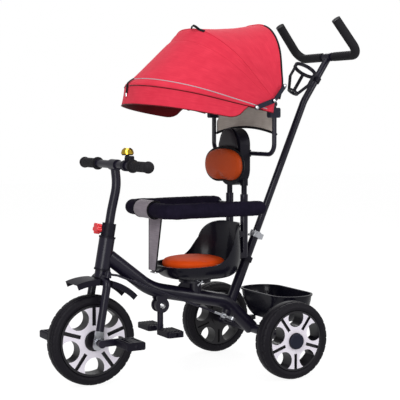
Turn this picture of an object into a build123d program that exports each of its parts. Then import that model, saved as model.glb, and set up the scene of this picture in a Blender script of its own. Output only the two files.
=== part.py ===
"""A children's push tricycle: pedalled front wheel, turning seat, folding canopy and a push pole that steers.

Millimetres, +X forward, +Y to the rider's left, +Z up. Sizes are laid out from the rear axle,
and every piece is then moved by ORIGIN_SHIFT, so that the origin is under the middle of the whole tricycle.
"""
import os
from math import cos, hypot, radians, sin

from build123d import *

# Layout
WHEELBASE = 517.0
HALF_TRACK = 211.0
ORIGIN_SHIFT = -177.25
FRONT_R = 125.0
FRONT_WIDTH = 48.0
REAR_R = 110.0
REAR_WIDTH = 50.0
RUN_FIT = 0.05
GAP = 0.4

# Steering, measured along the head axis up from the front axle
HEAD_LEAN = 10.2
HEAD_TUBE_R = 21.5
HEAD_LOW = 197.0
HEAD_HIGH = 281.0
STEERER_R = 13.0
STEERER_TOP = 300.0
LEG_R = 11.0
LEG_HALF = 46.0
CROWN_W = 172.0
ARM_REACH = 42.0
ROD_R = 3.2
PIN_R = 4.0
ARM_W = 181.0
EYE_R = 9.0
EYE_THICK = 9.4

# Front wheel drive
CRANK_LENGTH = 66.0
CRANK_Y = 66.0
AXLE_R = 6.0
PEDAL_SIZE = (54.0, 74.0, 22.0)

# Frame
TUBE_R = 21.0
REAR_TUBE_R = 14.0
REAR_AXLE_R = 5.0
SEAT_X = 192.0
SEAT_FLANGE_Z = 262.0
FOOT_X = 304.0
FOOT_Z = 203.0
FOOT_DROP = 70.0

# Push pole, measured along its axis from the point where it meets the main tube
POLE_LEAN = 23.6
POLE_FOOT = (70.0, 0.0, 197.5)
POLE_UPPER_R = 10.5
POLE_LOWER_R = 12.2
SLEEVE_R = 14.5
SLEEVE_LOW = -40.0
SLEEVE_HIGH = 122.0
POLE_LOWER_TOP = 212.0
POLE_ARM_S = -56.0
POLE_PLUG = -10.0
POLE_BEND_Z = 780.0
PUSH_BAR = (-274.0, 914.0)
PUSH_HALF = 152.0
HORN_TIP = (-196.0, 145.0, 1010.0)

# Seat and guard
SEAT_BOTTOM = 276.0
POST_X = 51.0
POST_HALF = 40.0
POST_R = 8.0
POST_SLEEVE_R = 11.0
SLEEVE_TOP_Z = 510.0
GUARD_Z = 476.0
GUARD_HALF = 122.0
GUARD_FRONT = 341.0
GUARD_BACK = 37.0
GUARD_CORNER = 30.0
GUARD_PAD_R = 22.0
GUARD_TUBE_R = 8.0

# Backrest and canopy
SHELL_BACK_X = 40.0
SHELL_FRONT_X = 76.0
HOOP_X = 31.0
HOOP_HALF = 166.0
HOOP_R = 6.5
HOOP_LOW = 628.0
PIVOT = (35.0, 768.0)
CLOTH_HALF = 188.5
CLOTH = 2.5
CLOTH_ROOT = 14.0
BOW_R = 4.0
BOW_TAPER = 27.0
ARCH_CORNER = 165.0
REAR_BOW = (98.0, 234.0)
MIDDLE_BOW = (49.2, 278.0)
FRONT_BOW = (5.9, 358.0)
VISOR_DROP = 50.0

STEER = Plane(
    origin=(WHEELBASE, 0, FRONT_R),
    x_dir=(cos(radians(HEAD_LEAN)), 0, sin(radians(HEAD_LEAN))),
    z_dir=(-sin(radians(HEAD_LEAN)), 0, cos(radians(HEAD_LEAN))),
)
POLE = Plane(
    origin=POLE_FOOT,
    x_dir=(cos(radians(POLE_LEAN)), 0, sin(radians(POLE_LEAN))),
    z_dir=(-sin(radians(POLE_LEAN)), 0, cos(radians(POLE_LEAN))),
)
UP = (Align.CENTER, Align.CENTER, Align.MIN)


def bent_tube(points, radius, bends, bore=0.0):
    """A round tube along straight runs joined by tangent arcs."""
    path = FilletPolyline(*points, radius=bends)
    section = Circle(radius)
    if bore:
        section -= Circle(bore)
    return sweep(Plane(origin=path @ 0, z_dir=path % 0) * section, path=path)


def rod(start, end, radius, bore=0.0):
    """A straight round bar, or a tube with a bore, from one point to another."""
    start, end = Vector(*start), Vector(*end)
    length = (end - start).length
    bar = Cylinder(radius, length, align=UP)
    if bore:
        bar -= Cylinder(bore, length, align=UP)
    return Plane(origin=start, z_dir=end - start) * bar


def ring(radius, bore, low, high):
    """A flat ring about the local Z axis."""
    return Pos(0, 0, low) * (Cylinder(radius, high - low, align=UP) - Cylinder(bore, high - low, align=UP))


def both_sides(piece):
    """A piece and its mirror image across the middle of the tricycle."""
    return piece + mirror(piece, about=Plane.XZ)


def along_y(x, y, z):
    """A plane at a point whose local Z points to the rider's left and local X forward."""
    return Plane(origin=(x, y, z), x_dir=(1, 0, 0), z_dir=(0, 1, 0))


# Wheels


def tyre(radius, rim_radius, width):
    """A broad tyre with rounded shoulders and three shallow grooves, about the local Z axis."""
    band = Cylinder(radius, width) - Cylinder(rim_radius, width)
    band = fillet(band.edges().filter_by(GeomType.CIRCLE).group_by(SortBy.RADIUS)[-1], 10)
    for height in (-10, 0, 10):
        band -= Pos(0, 0, height) * (Cylinder(radius + 1, 2.4) - Cylinder(radius - 2, 2.4))
    return band


def spoked_wheel(radius, width, hub_r, bore, first_hole):
    """A moulded wheel with five barrel holes open to its rim, and a slot along each spoke's two faces."""
    face, slot_depth = width / 2 - 3, 5.0
    wheel = Cylinder(radius, 2 * face) + Cylinder(hub_r, width)
    hole = (Pos(0.77 * radius, 0) * Circle(0.30 * radius)) & Circle(0.94 * radius)
    slot = Pos(0.69 * radius, 0) * SlotOverall(0.5 * radius, 0.08 * radius)
    for k in range(5):
        wheel -= Rot(0, 0, first_hole + 72 * k) * extrude(hole, width, both=True)
        groove = Rot(0, 0, first_hole + 36 + 72 * k) * extrude(slot, slot_depth)
        wheel -= Pos(0, 0, face - slot_depth) * groove
        wheel -= Pos(0, 0, -face) * groove
    return wheel - Cylinder(bore, 2 * width)


front_wheel_at = along_y(WHEELBASE, 0, FRONT_R)
front_rim_r = FRONT_R - 27
front_tyre = front_wheel_at * tyre(FRONT_R, front_rim_r, FRONT_WIDTH)
front_wheel = front_wheel_at * spoked_wheel(front_rim_r, FRONT_WIDTH, 28, AXLE_R, 90)

rear_rim_r = REAR_R - 26
rear_cap = Pos(0, 0, REAR_WIDTH / 2) * Cylinder(22, 7, align=UP)
rear_cap = fillet(rear_cap.edges().sort_by(Axis.Z)[-1], 4)
rear_cap -= Pos(0, 0, REAR_WIDTH / 2 - 1) * Cylinder(REAR_AXLE_R + 1, 5, align=UP)
rear_pieces = {}
for side, sign in (("left", 1), ("right", -1)):
    place = along_y(0, sign * HALF_TRACK, REAR_R) * Rot(0 if sign > 0 else 180, 0, 0)
    rear_pieces[f"rear_{side}_tyre"] = place * tyre(REAR_R, rear_rim_r, REAR_WIDTH)
    hole_at = -90 * sign
    rear_pieces[f"rear_{side}_wheel"] = place * spoked_wheel(
        rear_rim_r, REAR_WIDTH, 23, REAR_AXLE_R + RUN_FIT, hole_at
    )
    rear_pieces[f"rear_{side}_cap"] = place * rear_cap


def crank_arm(side):
    """One crank and its pedal spindle, on the local Z axis, which points away from the wheel."""
    arm = SlotCenterToCenter(CRANK_LENGTH, 18)
    arm = Pos(CRANK_LENGTH / 2, 0, CRANK_Y - 5) * extrude(arm, 9)
    spindle = Pos(CRANK_LENGTH, 0, CRANK_Y) * Cylinder(5, PEDAL_SIZE[1] + 4, align=UP)
    boss = Pos(0, 0, CRANK_Y + 2) * Cylinder(11, 8, align=UP)
    place = front_wheel_at * Rot(0 if side > 0 else 180, 0, 0) * Rot(0, 0, 180 if side > 0 else 0)
    return place * (arm + spindle + boss)


crank = front_wheel_at * Cylinder(AXLE_R, 2 * CRANK_Y) + crank_arm(1) + crank_arm(-1)


def pedal(side):
    """A block pedal with two treads and open slots between them and its spindle barrel."""
    length, width, thick = PEDAL_SIZE
    body = Box(length, thick, width)
    body = fillet(body.edges().filter_by(Axis.Z), 5)
    for x in (-0.28 * length, 0.28 * length):
        body -= Pos(x, 0, 0) * Box(7, 2 * thick, width - 22)
    for x in (-0.44, -0.1, 0.1, 0.44):
        body -= Pos(x * length, thick / 2, 0) * Box(2, 3, width - 10)
        body -= Pos(x * length, -thick / 2, 0) * Box(2, 3, width - 10)
    body -= Cylinder(5 + RUN_FIT, 2 * width)
    y = CRANK_Y + 6 + width / 2
    return along_y(WHEELBASE - side * CRANK_LENGTH, side * y, FRONT_R) * body


# Frame

head_tube = STEER * ring(HEAD_TUBE_R, 17, HEAD_LOW, HEAD_HIGH)
main_path = [(466, 0, 352), (335, 0, 250), (92, 0, 198), (0, 0, REAR_R)]
main_tube = bent_tube(main_path, TUBE_R, [160, 70])
rear_tube = rod((0, -172, REAR_R), (0, 172, REAR_R), REAR_TUBE_R, REAR_AXLE_R)
pole_sleeve = POLE * ring(SLEEVE_R, POLE_LOWER_R + RUN_FIT, SLEEVE_LOW, SLEEVE_HIGH)
seat_post = Pos(SEAT_X, 0, 225) * Cylinder(19, SEAT_FLANGE_Z - 225, align=UP)
seat_flange = Pos(SEAT_X, 0, SEAT_FLANGE_Z) * Cylinder(46, 5, align=UP)
gusset_profile = Polygon(
    (SEAT_X + 18, 232), (SEAT_X + 62, 244), (SEAT_X + 42, 263), (SEAT_X + 18, 263), align=None
)
gusset = extrude(Plane.XZ * gusset_profile, 4, both=True)
main_frame = main_tube + rear_tube + head_tube + pole_sleeve + seat_post + seat_flange + gusset
main_frame -= STEER * Pos(0, 0, HEAD_LOW) * Cylinder(17, HEAD_HIGH - HEAD_LOW, align=UP)
main_frame -= POLE * Pos(0, 0, SLEEVE_LOW) * Cylinder(
    POLE_LOWER_R + RUN_FIT, SLEEVE_HIGH - SLEEVE_LOW, align=UP
)
main_frame -= POLE * Pos(0, 0, SLEEVE_LOW - 50) * Cylinder(POLE_LOWER_R + 2, 50, align=UP)
main_frame -= rod((0, -180, REAR_R), (0, 180, REAR_R), REAR_AXLE_R)
main_frame -= Pos(SEAT_X, 0, SEAT_FLANGE_Z - 22) * Cylinder(8 + RUN_FIT, 40, align=UP)

cup_low = ring(HEAD_TUBE_R + 1.5, STEERER_R + RUN_FIT, HEAD_LOW - 5, HEAD_LOW)
cup_low += ring(17, STEERER_R + RUN_FIT, HEAD_LOW, HEAD_LOW + 8)
cup_high = ring(HEAD_TUBE_R + 1.5, STEERER_R + RUN_FIT, HEAD_HIGH, HEAD_HIGH + 5)
cup_high += ring(17, STEERER_R + RUN_FIT, HEAD_HIGH - 8, HEAD_HIGH)
headset_cups = Compound(children=[STEER * cup_low, STEER * cup_high])

axle_end = HALF_TRACK + REAR_WIDTH / 2 + 3
rear_axle = rod((0, -axle_end, REAR_R), (0, axle_end, REAR_R), REAR_AXLE_R)

# Footrest

knuckle_r = 21.0
cheek_profile = Circle(knuckle_r) + Pos(0, -20) * Rectangle(30, 28)
cheek = along_y(FOOT_X, 9, FOOT_Z) * extrude(cheek_profile, 6)
saddle = Pos(FOOT_X, 0, FOOT_Z + 30) * Box(34, 30, 24)
foot_pin = along_y(FOOT_X, -17, FOOT_Z) * Cylinder(5, 34, align=UP)
footrest_bracket = both_sides(cheek) + saddle + foot_pin
footrest_bracket -= Pos(FOOT_X, 0, FOOT_Z) * Box(60, 18, 50)
footrest_bracket += foot_pin
footrest_bracket -= bent_tube(main_path, TUBE_R, [160, 70])

foot_eye = along_y(FOOT_X, -8.7, FOOT_Z) * Cylinder(18, 17.4, align=UP)
foot_eye -= along_y(FOOT_X, -20, FOOT_Z) * Cylinder(5 + RUN_FIT, 40, align=UP)
foot_low = FOOT_Z - FOOT_DROP
foot_stem = rod((FOOT_X, 0, FOOT_Z - 16), (FOOT_X, 0, foot_low), 8.5)
foot_bar = rod((FOOT_X, -92, foot_low), (FOOT_X, 92, foot_low), 6)
footrest_post = foot_eye + foot_stem + foot_bar


def foot_pad(side):
    """A ribbed platform that sits round one end of the footrest bar."""
    pad = Box(50, 76, 15)
    pad = fillet(pad.edges().filter_by(Axis.Z), 8)
    for k in range(6):
        pad += Pos(-20 + 8 * k, 0, 7.5) * Box(3, 62, 4)
    pad -= Rot(90, 0, 0) * Cylinder(6, 100)
    return Pos(FOOT_X, side * 60, foot_low) * pad


# Fork, mudguard and handlebar, in the steering plane's own frame

leg_path = [(0, -LEG_HALF, 30), (0, -LEG_HALF, CROWN_W), (0, LEG_HALF, CROWN_W), (0, LEG_HALF, 30)]
fork_legs = bent_tube(leg_path, LEG_R, 26)
dropout = Pos(0, LEG_HALF, 8) * Rot(90, 0, 0) * extrude(SlotOverall(60, 26, rotation=90), 3, both=True)
nut = Pos(0, LEG_HALF + 3, 0) * Rot(-90, 0, 0) * extrude(RegularPolygon(11, 6), 6)
steerer = Pos(0, 0, CROWN_W) * Cylinder(STEERER_R, STEERER_TOP - CROWN_W, align=UP)
crown = Pos(0, 0, CROWN_W) * Cylinder(19, HEAD_LOW - 5 - CROWN_W - GAP, align=UP)
arm_plan = Pos(0, ARM_REACH / 2) * SlotCenterToCenter(ARM_REACH, 20, rotation=90)
steer_arm = Pos(0, 0, ARM_W - 5) * extrude(arm_plan, 5)
steer_pin = Pos(0, ARM_REACH, ARM_W - 5) * Cylinder(PIN_R, 5 + EYE_THICK + 5, align=UP)
pin_head = Pos(0, ARM_REACH, ARM_W + EYE_THICK + GAP) * Cylinder(7, 3, align=UP)
fork = fork_legs + both_sides(dropout + nut) + steerer + crown + steer_arm + steer_pin + pin_head
fork -= Rot(90, 0, 0) * Cylinder(AXLE_R + RUN_FIT, 200)
fork = STEER * fork

guard_r = 170.0
guard_half = 40.0
skirt = 15.0
shell_section = Rectangle(3, 2 * guard_half) + Pos(-skirt / 2, guard_half - 1.5) * Rectangle(skirt, 3)
shell_section += Pos(-skirt / 2, 1.5 - guard_half) * Rectangle(skirt, 3)
guard_span = (60.0, 126.0)
mudguard = revolve(Plane.XY * Pos(guard_r - 1.5, 0) * shell_section, Axis.Y, guard_span[1] - guard_span[0])
mudguard = Rot(0, -guard_span[1], 0) * mudguard
mudguard -= both_sides(Pos(0, 48, 150) * Box(38, 34, 60))
mudguard += Pos(0, 0, 159) * Box(40, 30, 16)
mudguard -= bent_tube(leg_path, LEG_R, 26)
mudguard = STEER * mudguard

collar = ring(19, STEERER_R, HEAD_HIGH + 5.5, HEAD_HIGH + 41)
collar_ear = Pos(18, 0, HEAD_HIGH + 23) * Box(16, 18, 24)
collar_ear -= Pos(0, 0, HEAD_HIGH) * Cylinder(STEERER_R, 60, align=UP)
collar = fillet((collar + collar_ear).edges().filter_by(Axis.X), 3)
knob_bore = Pos(17, 0, HEAD_HIGH + 23) * Rot(0, 90, 0) * Cylinder(4 + RUN_FIT, 20, align=UP)
stem_collar = STEER * (collar - knob_bore)

knob_at = Pos(26 + GAP, 0, HEAD_HIGH + 23)
lobes = Circle(11)
for k in range(5):
    lobes += Rot(0, 0, 72 * k) * Pos(10, 0) * Circle(5.5)
knob_shank = Pos(0, 0, -8) * Cylinder(4, 8, align=UP)
clamp_knob = STEER * knob_at * Rot(0, 90, 0) * (extrude(lobes, 14) + knob_shank)

stem_low = STEER.from_local_coords(Vector(0, 0, STEERER_TOP))
stem_turn = STEER.from_local_coords(Vector(0, 0, STEERER_TOP + 56))
bar_x, bar_z = 443.0, 602.0
stem = bent_tube([stem_low, stem_turn, (437, 0, 546), (bar_x, 0, bar_z)], 12.5, [300, 130])
bar_half = 205.0
handlebar = rod((bar_x, -bar_half, bar_z), (bar_x, bar_half, bar_z), 11)
handlebar += rod((bar_x, -20, bar_z), (bar_x, 20, bar_z), 15) + stem


def bar_grip(side):
    """A rubber grip: a ring flange, a ribbed sleeve and a ball end."""
    grip = Cylinder(14, 92, align=UP) + Cylinder(18, 5, align=UP) + Pos(0, 0, 92) * Sphere(16)
    for k in range(7):
        grip -= Pos(0, 0, 14 + 9 * k) * (Cylinder(15, 2, align=UP) - Cylinder(13, 2, align=UP))
    grip -= Cylinder(11, 95, align=UP)
    place = along_y(bar_x, side * (bar_half - 95), bar_z)
    return place * Rot(0 if side > 0 else 180, 0, 0) * grip


bell_y = 72.0
bell_base = rod((bar_x, bell_y - 8, bar_z), (bar_x, bell_y + 8, bar_z), 15, 11)
bell_base += Pos(bar_x - 4, bell_y, bar_z + 13) * Cylinder(8, 9, align=UP)
bell_base += Pos(bar_x - 4, bell_y, bar_z + 28) * Cylinder(15, 3, align=UP)
bell_base += Pos(bar_x - 4, bell_y, bar_z + 20) * Cylinder(5, 9, align=UP)
dome_profile = Plane.XZ * (
    make_face(Polyline((0, 0), (17, 0), (17, 5), (14.5, 12), (9, 16.5), (0, 18), close=True))
)
bell_dome = Pos(bar_x - 4, bell_y, bar_z + 31) * revolve(dome_profile, Axis.Z)
lever_plan = SlotCenterToCenter(24, 14, rotation=90)
bell_lever = Pos(bar_x - 4, bell_y + 12, bar_z + 22 + GAP) * extrude(lever_plan, 4)
bell_lever += Pos(bar_x - 4, bell_y + 24, bar_z + 20) * Box(12, 10, 8)
bell_lever -= Pos(bar_x - 4, bell_y, bar_z + 13) * Cylinder(5 + RUN_FIT, 20, align=UP)

# Steering rod, from the fork's arm to the pole's arm

eye_mid = EYE_THICK / 2
rod_fit = 0.2
open_fit = 0.6
front_eye = STEER * Pos(0, ARM_REACH, 0) * ring(EYE_R, PIN_R + rod_fit, ARM_W + GAP, ARM_W + EYE_THICK)
rear_eye = POLE * Pos(0, ARM_REACH, 0) * ring(
    EYE_R, PIN_R + open_fit, POLE_ARM_S + 0.5, POLE_ARM_S + EYE_THICK
)
rod_path = [
    STEER.from_local_coords(Vector(-7, ARM_REACH, ARM_W + eye_mid)),
    STEER.from_local_coords(Vector(-28, ARM_REACH, ARM_W + eye_mid)),
    POLE.from_local_coords(Vector(8, ARM_REACH, POLE_ARM_S + eye_mid)),
]
rod_way = (rod_path[2] - rod_path[1]).normalized()
steering_rod = bent_tube(rod_path, ROD_R, 30) + front_eye + rear_eye
steering_rod += rod(rod_path[2] - rod_way * 30, rod_path[2] - rod_way * 20, 7)

# Push pole, in the pole plane's own frame below the bend

pole_lower = ring(POLE_LOWER_R, POLE_UPPER_R + RUN_FIT, POLE_PLUG, POLE_LOWER_TOP)
pole_lower += Pos(0, 0, POLE_ARM_S - 8) * Cylinder(POLE_LOWER_R, POLE_PLUG - POLE_ARM_S + 8, align=UP)
pole_arm_plan = Pos(0, ARM_REACH / 2) * SlotCenterToCenter(ARM_REACH, 16, rotation=90)
pole_lower += Pos(0, 0, POLE_ARM_S - 5) * extrude(pole_arm_plan, 5)
pole_lower += Pos(0, ARM_REACH, POLE_ARM_S - 5) * Cylinder(PIN_R, 5 + EYE_THICK + 5, align=UP)
pole_lower = POLE * pole_lower
pole_collar = POLE * ring(18, POLE_LOWER_R, SLEEVE_HIGH + GAP, SLEEVE_HIGH + 16)

clamp_s = POLE_LOWER_TOP - 14
clamp_band = ring(16.5, POLE_LOWER_R, clamp_s, clamp_s + 18)
clamp_band -= Pos(0, 0, POLE_LOWER_TOP) * Cylinder(POLE_UPPER_R + 0.4, 20, align=UP)
clamp_ears = Pos(-17, -2, clamp_s + 9) * Box(16, 18, 16)
clamp_ears += Pos(-20, -13, clamp_s + 2) * Box(9, 14, 3) + Pos(-20, -13, clamp_s + 16) * Box(9, 14, 3)
clamp_ears -= Cylinder(POLE_LOWER_R, 900)
clamp_ears -= Pos(-20, 3, clamp_s + 9) * Box(20, 2.5, 20)
lever_at = Pos(-20, -16.5, clamp_s + 9)
pole_clamp = POLE * (clamp_band + clamp_ears + lever_at * Cylinder(2.5, 14))
lever = Cylinder(5, 10.6) + Pos(0, -25, 0) * Box(6, 46, 6)
clamp_lever = POLE * lever_at * (lever - Cylinder(2.5 + RUN_FIT, 20))

bend_s = (POLE_BEND_Z - POLE_FOOT[2]) / cos(radians(POLE_LEAN))
pole_path = [
    POLE.from_local_coords(Vector(0, 0, 108)),
    POLE.from_local_coords(Vector(0, 0, bend_s)),
    (PUSH_BAR[0], 0, PUSH_BAR[1]),
]
tip_x, tip_y, tip_z = HORN_TIP
bar_path = [
    (tip_x, -tip_y, tip_z),
    (PUSH_BAR[0], -PUSH_HALF, PUSH_BAR[1]),
    (PUSH_BAR[0], PUSH_HALF, PUSH_BAR[1]),
    (tip_x, tip_y, tip_z),
]
pole_upper = bent_tube(pole_path, POLE_UPPER_R, 90) + bent_tube(bar_path, 9, 34)
pole_upper += rod((PUSH_BAR[0], -17, PUSH_BAR[1]), (PUSH_BAR[0], 17, PUSH_BAR[1]), 13)


def push_grip(side):
    """A foam sleeve along one half of the push bar, round the bend and closed at the horn's tip."""
    bar_x, bar_z = PUSH_BAR
    points = [(bar_x, side * 30, bar_z), (bar_x, side * PUSH_HALF, bar_z), (tip_x, side * tip_y, tip_z)]
    sleeve = bent_tube(points, 13.5, 34, 9)
    way = (Vector(*points[2]) - Vector(*points[1])).normalized()
    return sleeve + rod(points[2], Vector(*points[2]) + way * 5, 13.5)


upper_way = (Vector(*pole_path[2]) - Vector(*pole_path[1])).normalized()
cage_x, cage_z = -188.0, 872.0
CAGE = Plane(origin=(cage_x, 0, cage_z), x_dir=(upper_way.Z, 0, -upper_way.X), z_dir=upper_way)
cage = ring(37, 33, -5, 5) + ring(18, 10, -80, -75)
cage_strap = Polyline((33, -3), (37, -3), (37, -45), (18, -80), (14, -80), (33, -43), close=True)
for turn in (0, 120, 240):
    cage += Rot(0, 0, turn) * extrude(Plane.XZ * make_face(cage_strap), 5, both=True)
ring_height = (Vector(cage_x, 0, cage_z) - Vector(*pole_path[1])).dot(upper_way)
band_mid = Vector(*pole_path[1]) + upper_way * ring_height
cage_band = rod(band_mid - upper_way * 8, band_mid + upper_way * 8, 14, POLE_UPPER_R)
cage_band -= CAGE * Cylinder(33, 40)
bottle_cage = CAGE * cage + cage_band - bent_tube(pole_path, POLE_UPPER_R, 90)

# Rear bin


def boat(length, width, corner, z):
    """One level outline of the bin."""
    return Plane.XY.offset(z) * Pos(-88, 0) * RectangleRounded(length, width, corner)


bin_low, bin_high = 134.0, 214.0
bin_outer = loft([boat(84, 170, 36, bin_low), boat(112, 226, 50, bin_low + 26), boat(132, 262, 60, bin_high)])
bin_inner = loft(
    [boat(78, 164, 33, bin_low + 3), boat(106, 220, 47, bin_low + 28), boat(126, 256, 57, bin_high + 1)]
)
rim_band = extrude(boat(138, 268, 63, bin_high - 4) - boat(126, 256, 57, bin_high - 4), 4)
rear_bin = bin_outer - bin_inner + (rim_band - bin_inner)
bin_feet = both_sides(Pos(-22, 60, 128) * Box(52, 18, 12))
bin_feet -= rod((0, -180, REAR_R), (0, 180, REAR_R), REAR_TUBE_R)
rear_bin += bin_feet - bin_inner

# Seat, in its own frame with the swivel axis on local Z


def pan(length, width, corner, z):
    """One level outline of the bucket."""
    return Plane.XY.offset(z) * Pos(SEAT_X - 6, 0) * RectangleRounded(length, width, corner)


def bucket(wall, floor):
    """The bucket as a solid, drawn in by a wall all round and lifted by a floor."""
    cut = 2 * wall
    return loft(
        [
            pan(168 - cut, 150 - cut, 70 - wall, SEAT_BOTTOM + floor),
            pan(216 - cut, 200 - cut, 84 - wall, SEAT_BOTTOM + 14 + floor * 0.6),
            pan(238 - cut, 222 - cut, 92 - wall, SEAT_BOTTOM + 42),
            pan(248 - cut, 226 - cut, 94 - wall, 432),
        ]
    )


rim_line = Polyline((40, 500), (40, 429), (68, 429))
rim_line += RadiusArc((68, 429), (122, 378), 62)
rim_line += Line((122, 378), (144, 344))
rim_line += RadiusArc((144, 344), (204, 318), -74)
rim_line += Polyline((204, 318), (340, 312), (340, 500), (40, 500))
rim_cut = extrude(Plane.XZ * make_face(rim_line), 200, both=True)
back_arch = extrude(Plane.YZ * Pos(0, 312) * RectangleRounded(240, 240, 79), 400, both=True)
seat_shell = (bucket(0, 0) - bucket(4.5, 8) - rim_cut) & back_arch
swivel_low = SEAT_FLANGE_Z + 5 + GAP
swivel_plate = Pos(SEAT_X, 0, swivel_low) * Cylinder(48, SEAT_BOTTOM - swivel_low + 1, align=UP)
swivel_pin = Pos(SEAT_X, 0, swivel_low - 18) * Cylinder(8, 22, align=UP)
seat_shell += swivel_plate + swivel_pin

cushion_z = SEAT_BOTTOM + 8


def cushion_level(scale, z):
    """One level outline of the seat cushion."""
    return Plane.XY.offset(z) * Pos(SEAT_X + 4, 0) * RectangleRounded(186 * scale, 178 * scale, 82 * scale)


seat_cushion = loft(
    [
        cushion_level(0.80, cushion_z + GAP),
        cushion_level(0.99, cushion_z + 26),
        cushion_level(1.0, cushion_z + 40),
        cushion_level(0.86, cushion_z + 51),
        cushion_level(0.45, cushion_z + 56),
    ]
)

post_sleeve = rod((POST_X, POST_HALF, 329), (POST_X, POST_HALF, SLEEVE_TOP_Z), POST_SLEEVE_R)
post_sleeve -= rod((POST_X, POST_HALF, 400), (POST_X, POST_HALF, SLEEVE_TOP_Z + 1), POST_R + RUN_FIT)
back_posts = both_sides(post_sleeve)
for z in (334, 396):
    back_posts += Pos(POST_X + 6, 0, z) * Box(26, 2 * POST_HALF + 18, 16)
back_posts -= rod((POST_X, POST_HALF, 400), (POST_X, POST_HALF, 520), POST_R + RUN_FIT)
back_posts -= rod((POST_X, -POST_HALF, 400), (POST_X, -POST_HALF, 520), POST_R + RUN_FIT)
back_posts -= bucket(0, 0)

rail_end = POST_HALF + POST_SLEEVE_R - 5
rail_path = [
    (POST_X, rail_end, GUARD_Z),
    (POST_X, GUARD_HALF, GUARD_Z),
    (GUARD_FRONT, GUARD_HALF, GUARD_Z),
    (GUARD_FRONT, -GUARD_HALF, GUARD_Z),
    (POST_X, -GUARD_HALF, GUARD_Z),
    (POST_X, -rail_end, GUARD_Z),
]
rail_bends = [14, GUARD_CORNER, GUARD_CORNER, 14]
guard_rail = bent_tube(rail_path, GUARD_TUBE_R, rail_bends)
guard_rail -= both_sides(rod((POST_X, POST_HALF, 440), (POST_X, POST_HALF, 520), POST_SLEEVE_R))
pad_path = [
    (GUARD_BACK, GUARD_HALF, GUARD_Z),
    (GUARD_FRONT, GUARD_HALF, GUARD_Z),
    (GUARD_FRONT, -GUARD_HALF, GUARD_Z),
    (GUARD_BACK, -GUARD_HALF, GUARD_Z),
]
guard_pad = bent_tube(pad_path, GUARD_PAD_R, GUARD_CORNER) - bent_tube(rail_path, GUARD_TUBE_R, rail_bends)

strap_top, strap_low = 86.0, 24.0
strap_ends = ((GUARD_FRONT, -26, GUARD_Z), (GUARD_FRONT, 26, GUARD_Z))
strap_loop = rod(*strap_ends, GUARD_PAD_R + 3.4, GUARD_PAD_R + GAP)
strap_plan = Polygon(
    (-strap_top / 2, 0), (strap_top / 2, 0), (strap_low / 2, -176), (-strap_low / 2, -176), align=None
)
strap_x = GUARD_FRONT - GUARD_PAD_R - 4 - GAP
strap_at = Plane(origin=(strap_x, 0, GUARD_Z), x_dir=(0, 1, 0), z_dir=(1, 0, 0))
crotch_strap = strap_loop + strap_at * extrude(strap_plan, 4)
crotch_strap += Pos(320, 0, 299.5) * Box(34, strap_low, 4)
crotch_strap -= bucket(0, 0)

lever_x, lever_z = SEAT_X + 20, 272.0
swivel_lever = rod((lever_x, 31, lever_z), (lever_x, 78, lever_z), 3)
swivel_lever += rod((lever_x, 75, lever_z), (lever_x + 14, 75, lever_z - 10), 3.6)
seat_shell -= rod((lever_x, 30, lever_z), (lever_x, 60, lever_z), 3 + RUN_FIT)

# Backrest

upper_post = rod((POST_X, POST_HALF, 412), (POST_X, POST_HALF, 548), POST_R)
upper_post += rod((POST_X, POST_HALF, 535), (POST_X, POST_HALF, 600), POST_SLEEVE_R)
back_plan = Plane.YZ * (Pos(0, 618) * RectangleRounded(118, 164, 48))
back_shell = Pos(SHELL_BACK_X, 0, 0) * extrude(back_plan, SHELL_FRONT_X - SHELL_BACK_X)
back_shell = fillet(back_shell.edges().sort_by(Axis.X)[:8], 6)
back_shell += both_sides(upper_post)
hoop_clip = Pos(SHELL_BACK_X - 6, 30, HOOP_LOW) * Box(16, 16, 20)
hoop_clip -= rod((HOOP_X, -60, HOOP_LOW), (HOOP_X, 60, HOOP_LOW), HOOP_R)
back_shell += both_sides(hoop_clip)


def bean(width, height, depth, z, bulge):
    """A stuffed pad on the front of the back shell: drawn-in rim, broad middle and a soft crown."""
    sections = []
    for share, scale in ((0.0, 0.86), (0.25, 0.98), (0.55, 1.0), (0.85, 0.84), (1.0, 0.55)):
        outline = RectangleRounded(width * scale, height * scale, bulge * height * scale)
        sections.append(Plane.YZ.offset(SHELL_FRONT_X + depth * share) * Pos(0, z) * outline)
    return loft(sections)


back_pad = bean(192, 94, 34, 600, 0.46)
back_pad -= Plane.YZ * Pos(0, 507, 0) * Cylinder(60, 400)
headrest = bean(112, 54, 28, 675, 0.42)

hoop_path = [
    (HOOP_X, HOOP_HALF, 758),
    (HOOP_X, HOOP_HALF, HOOP_LOW),
    (HOOP_X, -HOOP_HALF, HOOP_LOW),
    (HOOP_X, -HOOP_HALF, 758),
]
canopy_hoop = bent_tube(hoop_path, HOOP_R, 30)
panel_top = Polyline((-164, 684), (-164, 724), (-154, 728), (-154, 770), (154, 770), (154, 728), (164, 724), (164, 684))
panel_profile = make_face(panel_top + ThreePointArc((164, 684), (0, 703), (-164, 684)))
rear_panel = Pos(HOOP_X - HOOP_R - 3, 0, 0) * extrude(Plane.YZ * panel_profile, 2.4)

# Canopy: bows fan out from one cross axis

pivot_x, pivot_z = PIVOT


def fan(angle):
    """A plane through the canopy's cross axis: local X is across, local Y runs out along the bow."""
    out = (cos(radians(angle)), 0, sin(radians(angle)))
    return Plane(origin=(pivot_x, 0, pivot_z), x_dir=(0, 1, 0), z_dir=Vector(0, 1, 0).cross(Vector(*out)))


def arch_face(half, reach, corner, root):
    """The area under a bow in its own plane, down to a straight edge beside the cross axis."""
    points = [(half, root), (half - BOW_TAPER, reach), (BOW_TAPER - half, reach), (-half, root)]
    return make_face(FilletPolyline(*points, radius=corner) + Line((-half, root), (half, root)))


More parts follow.
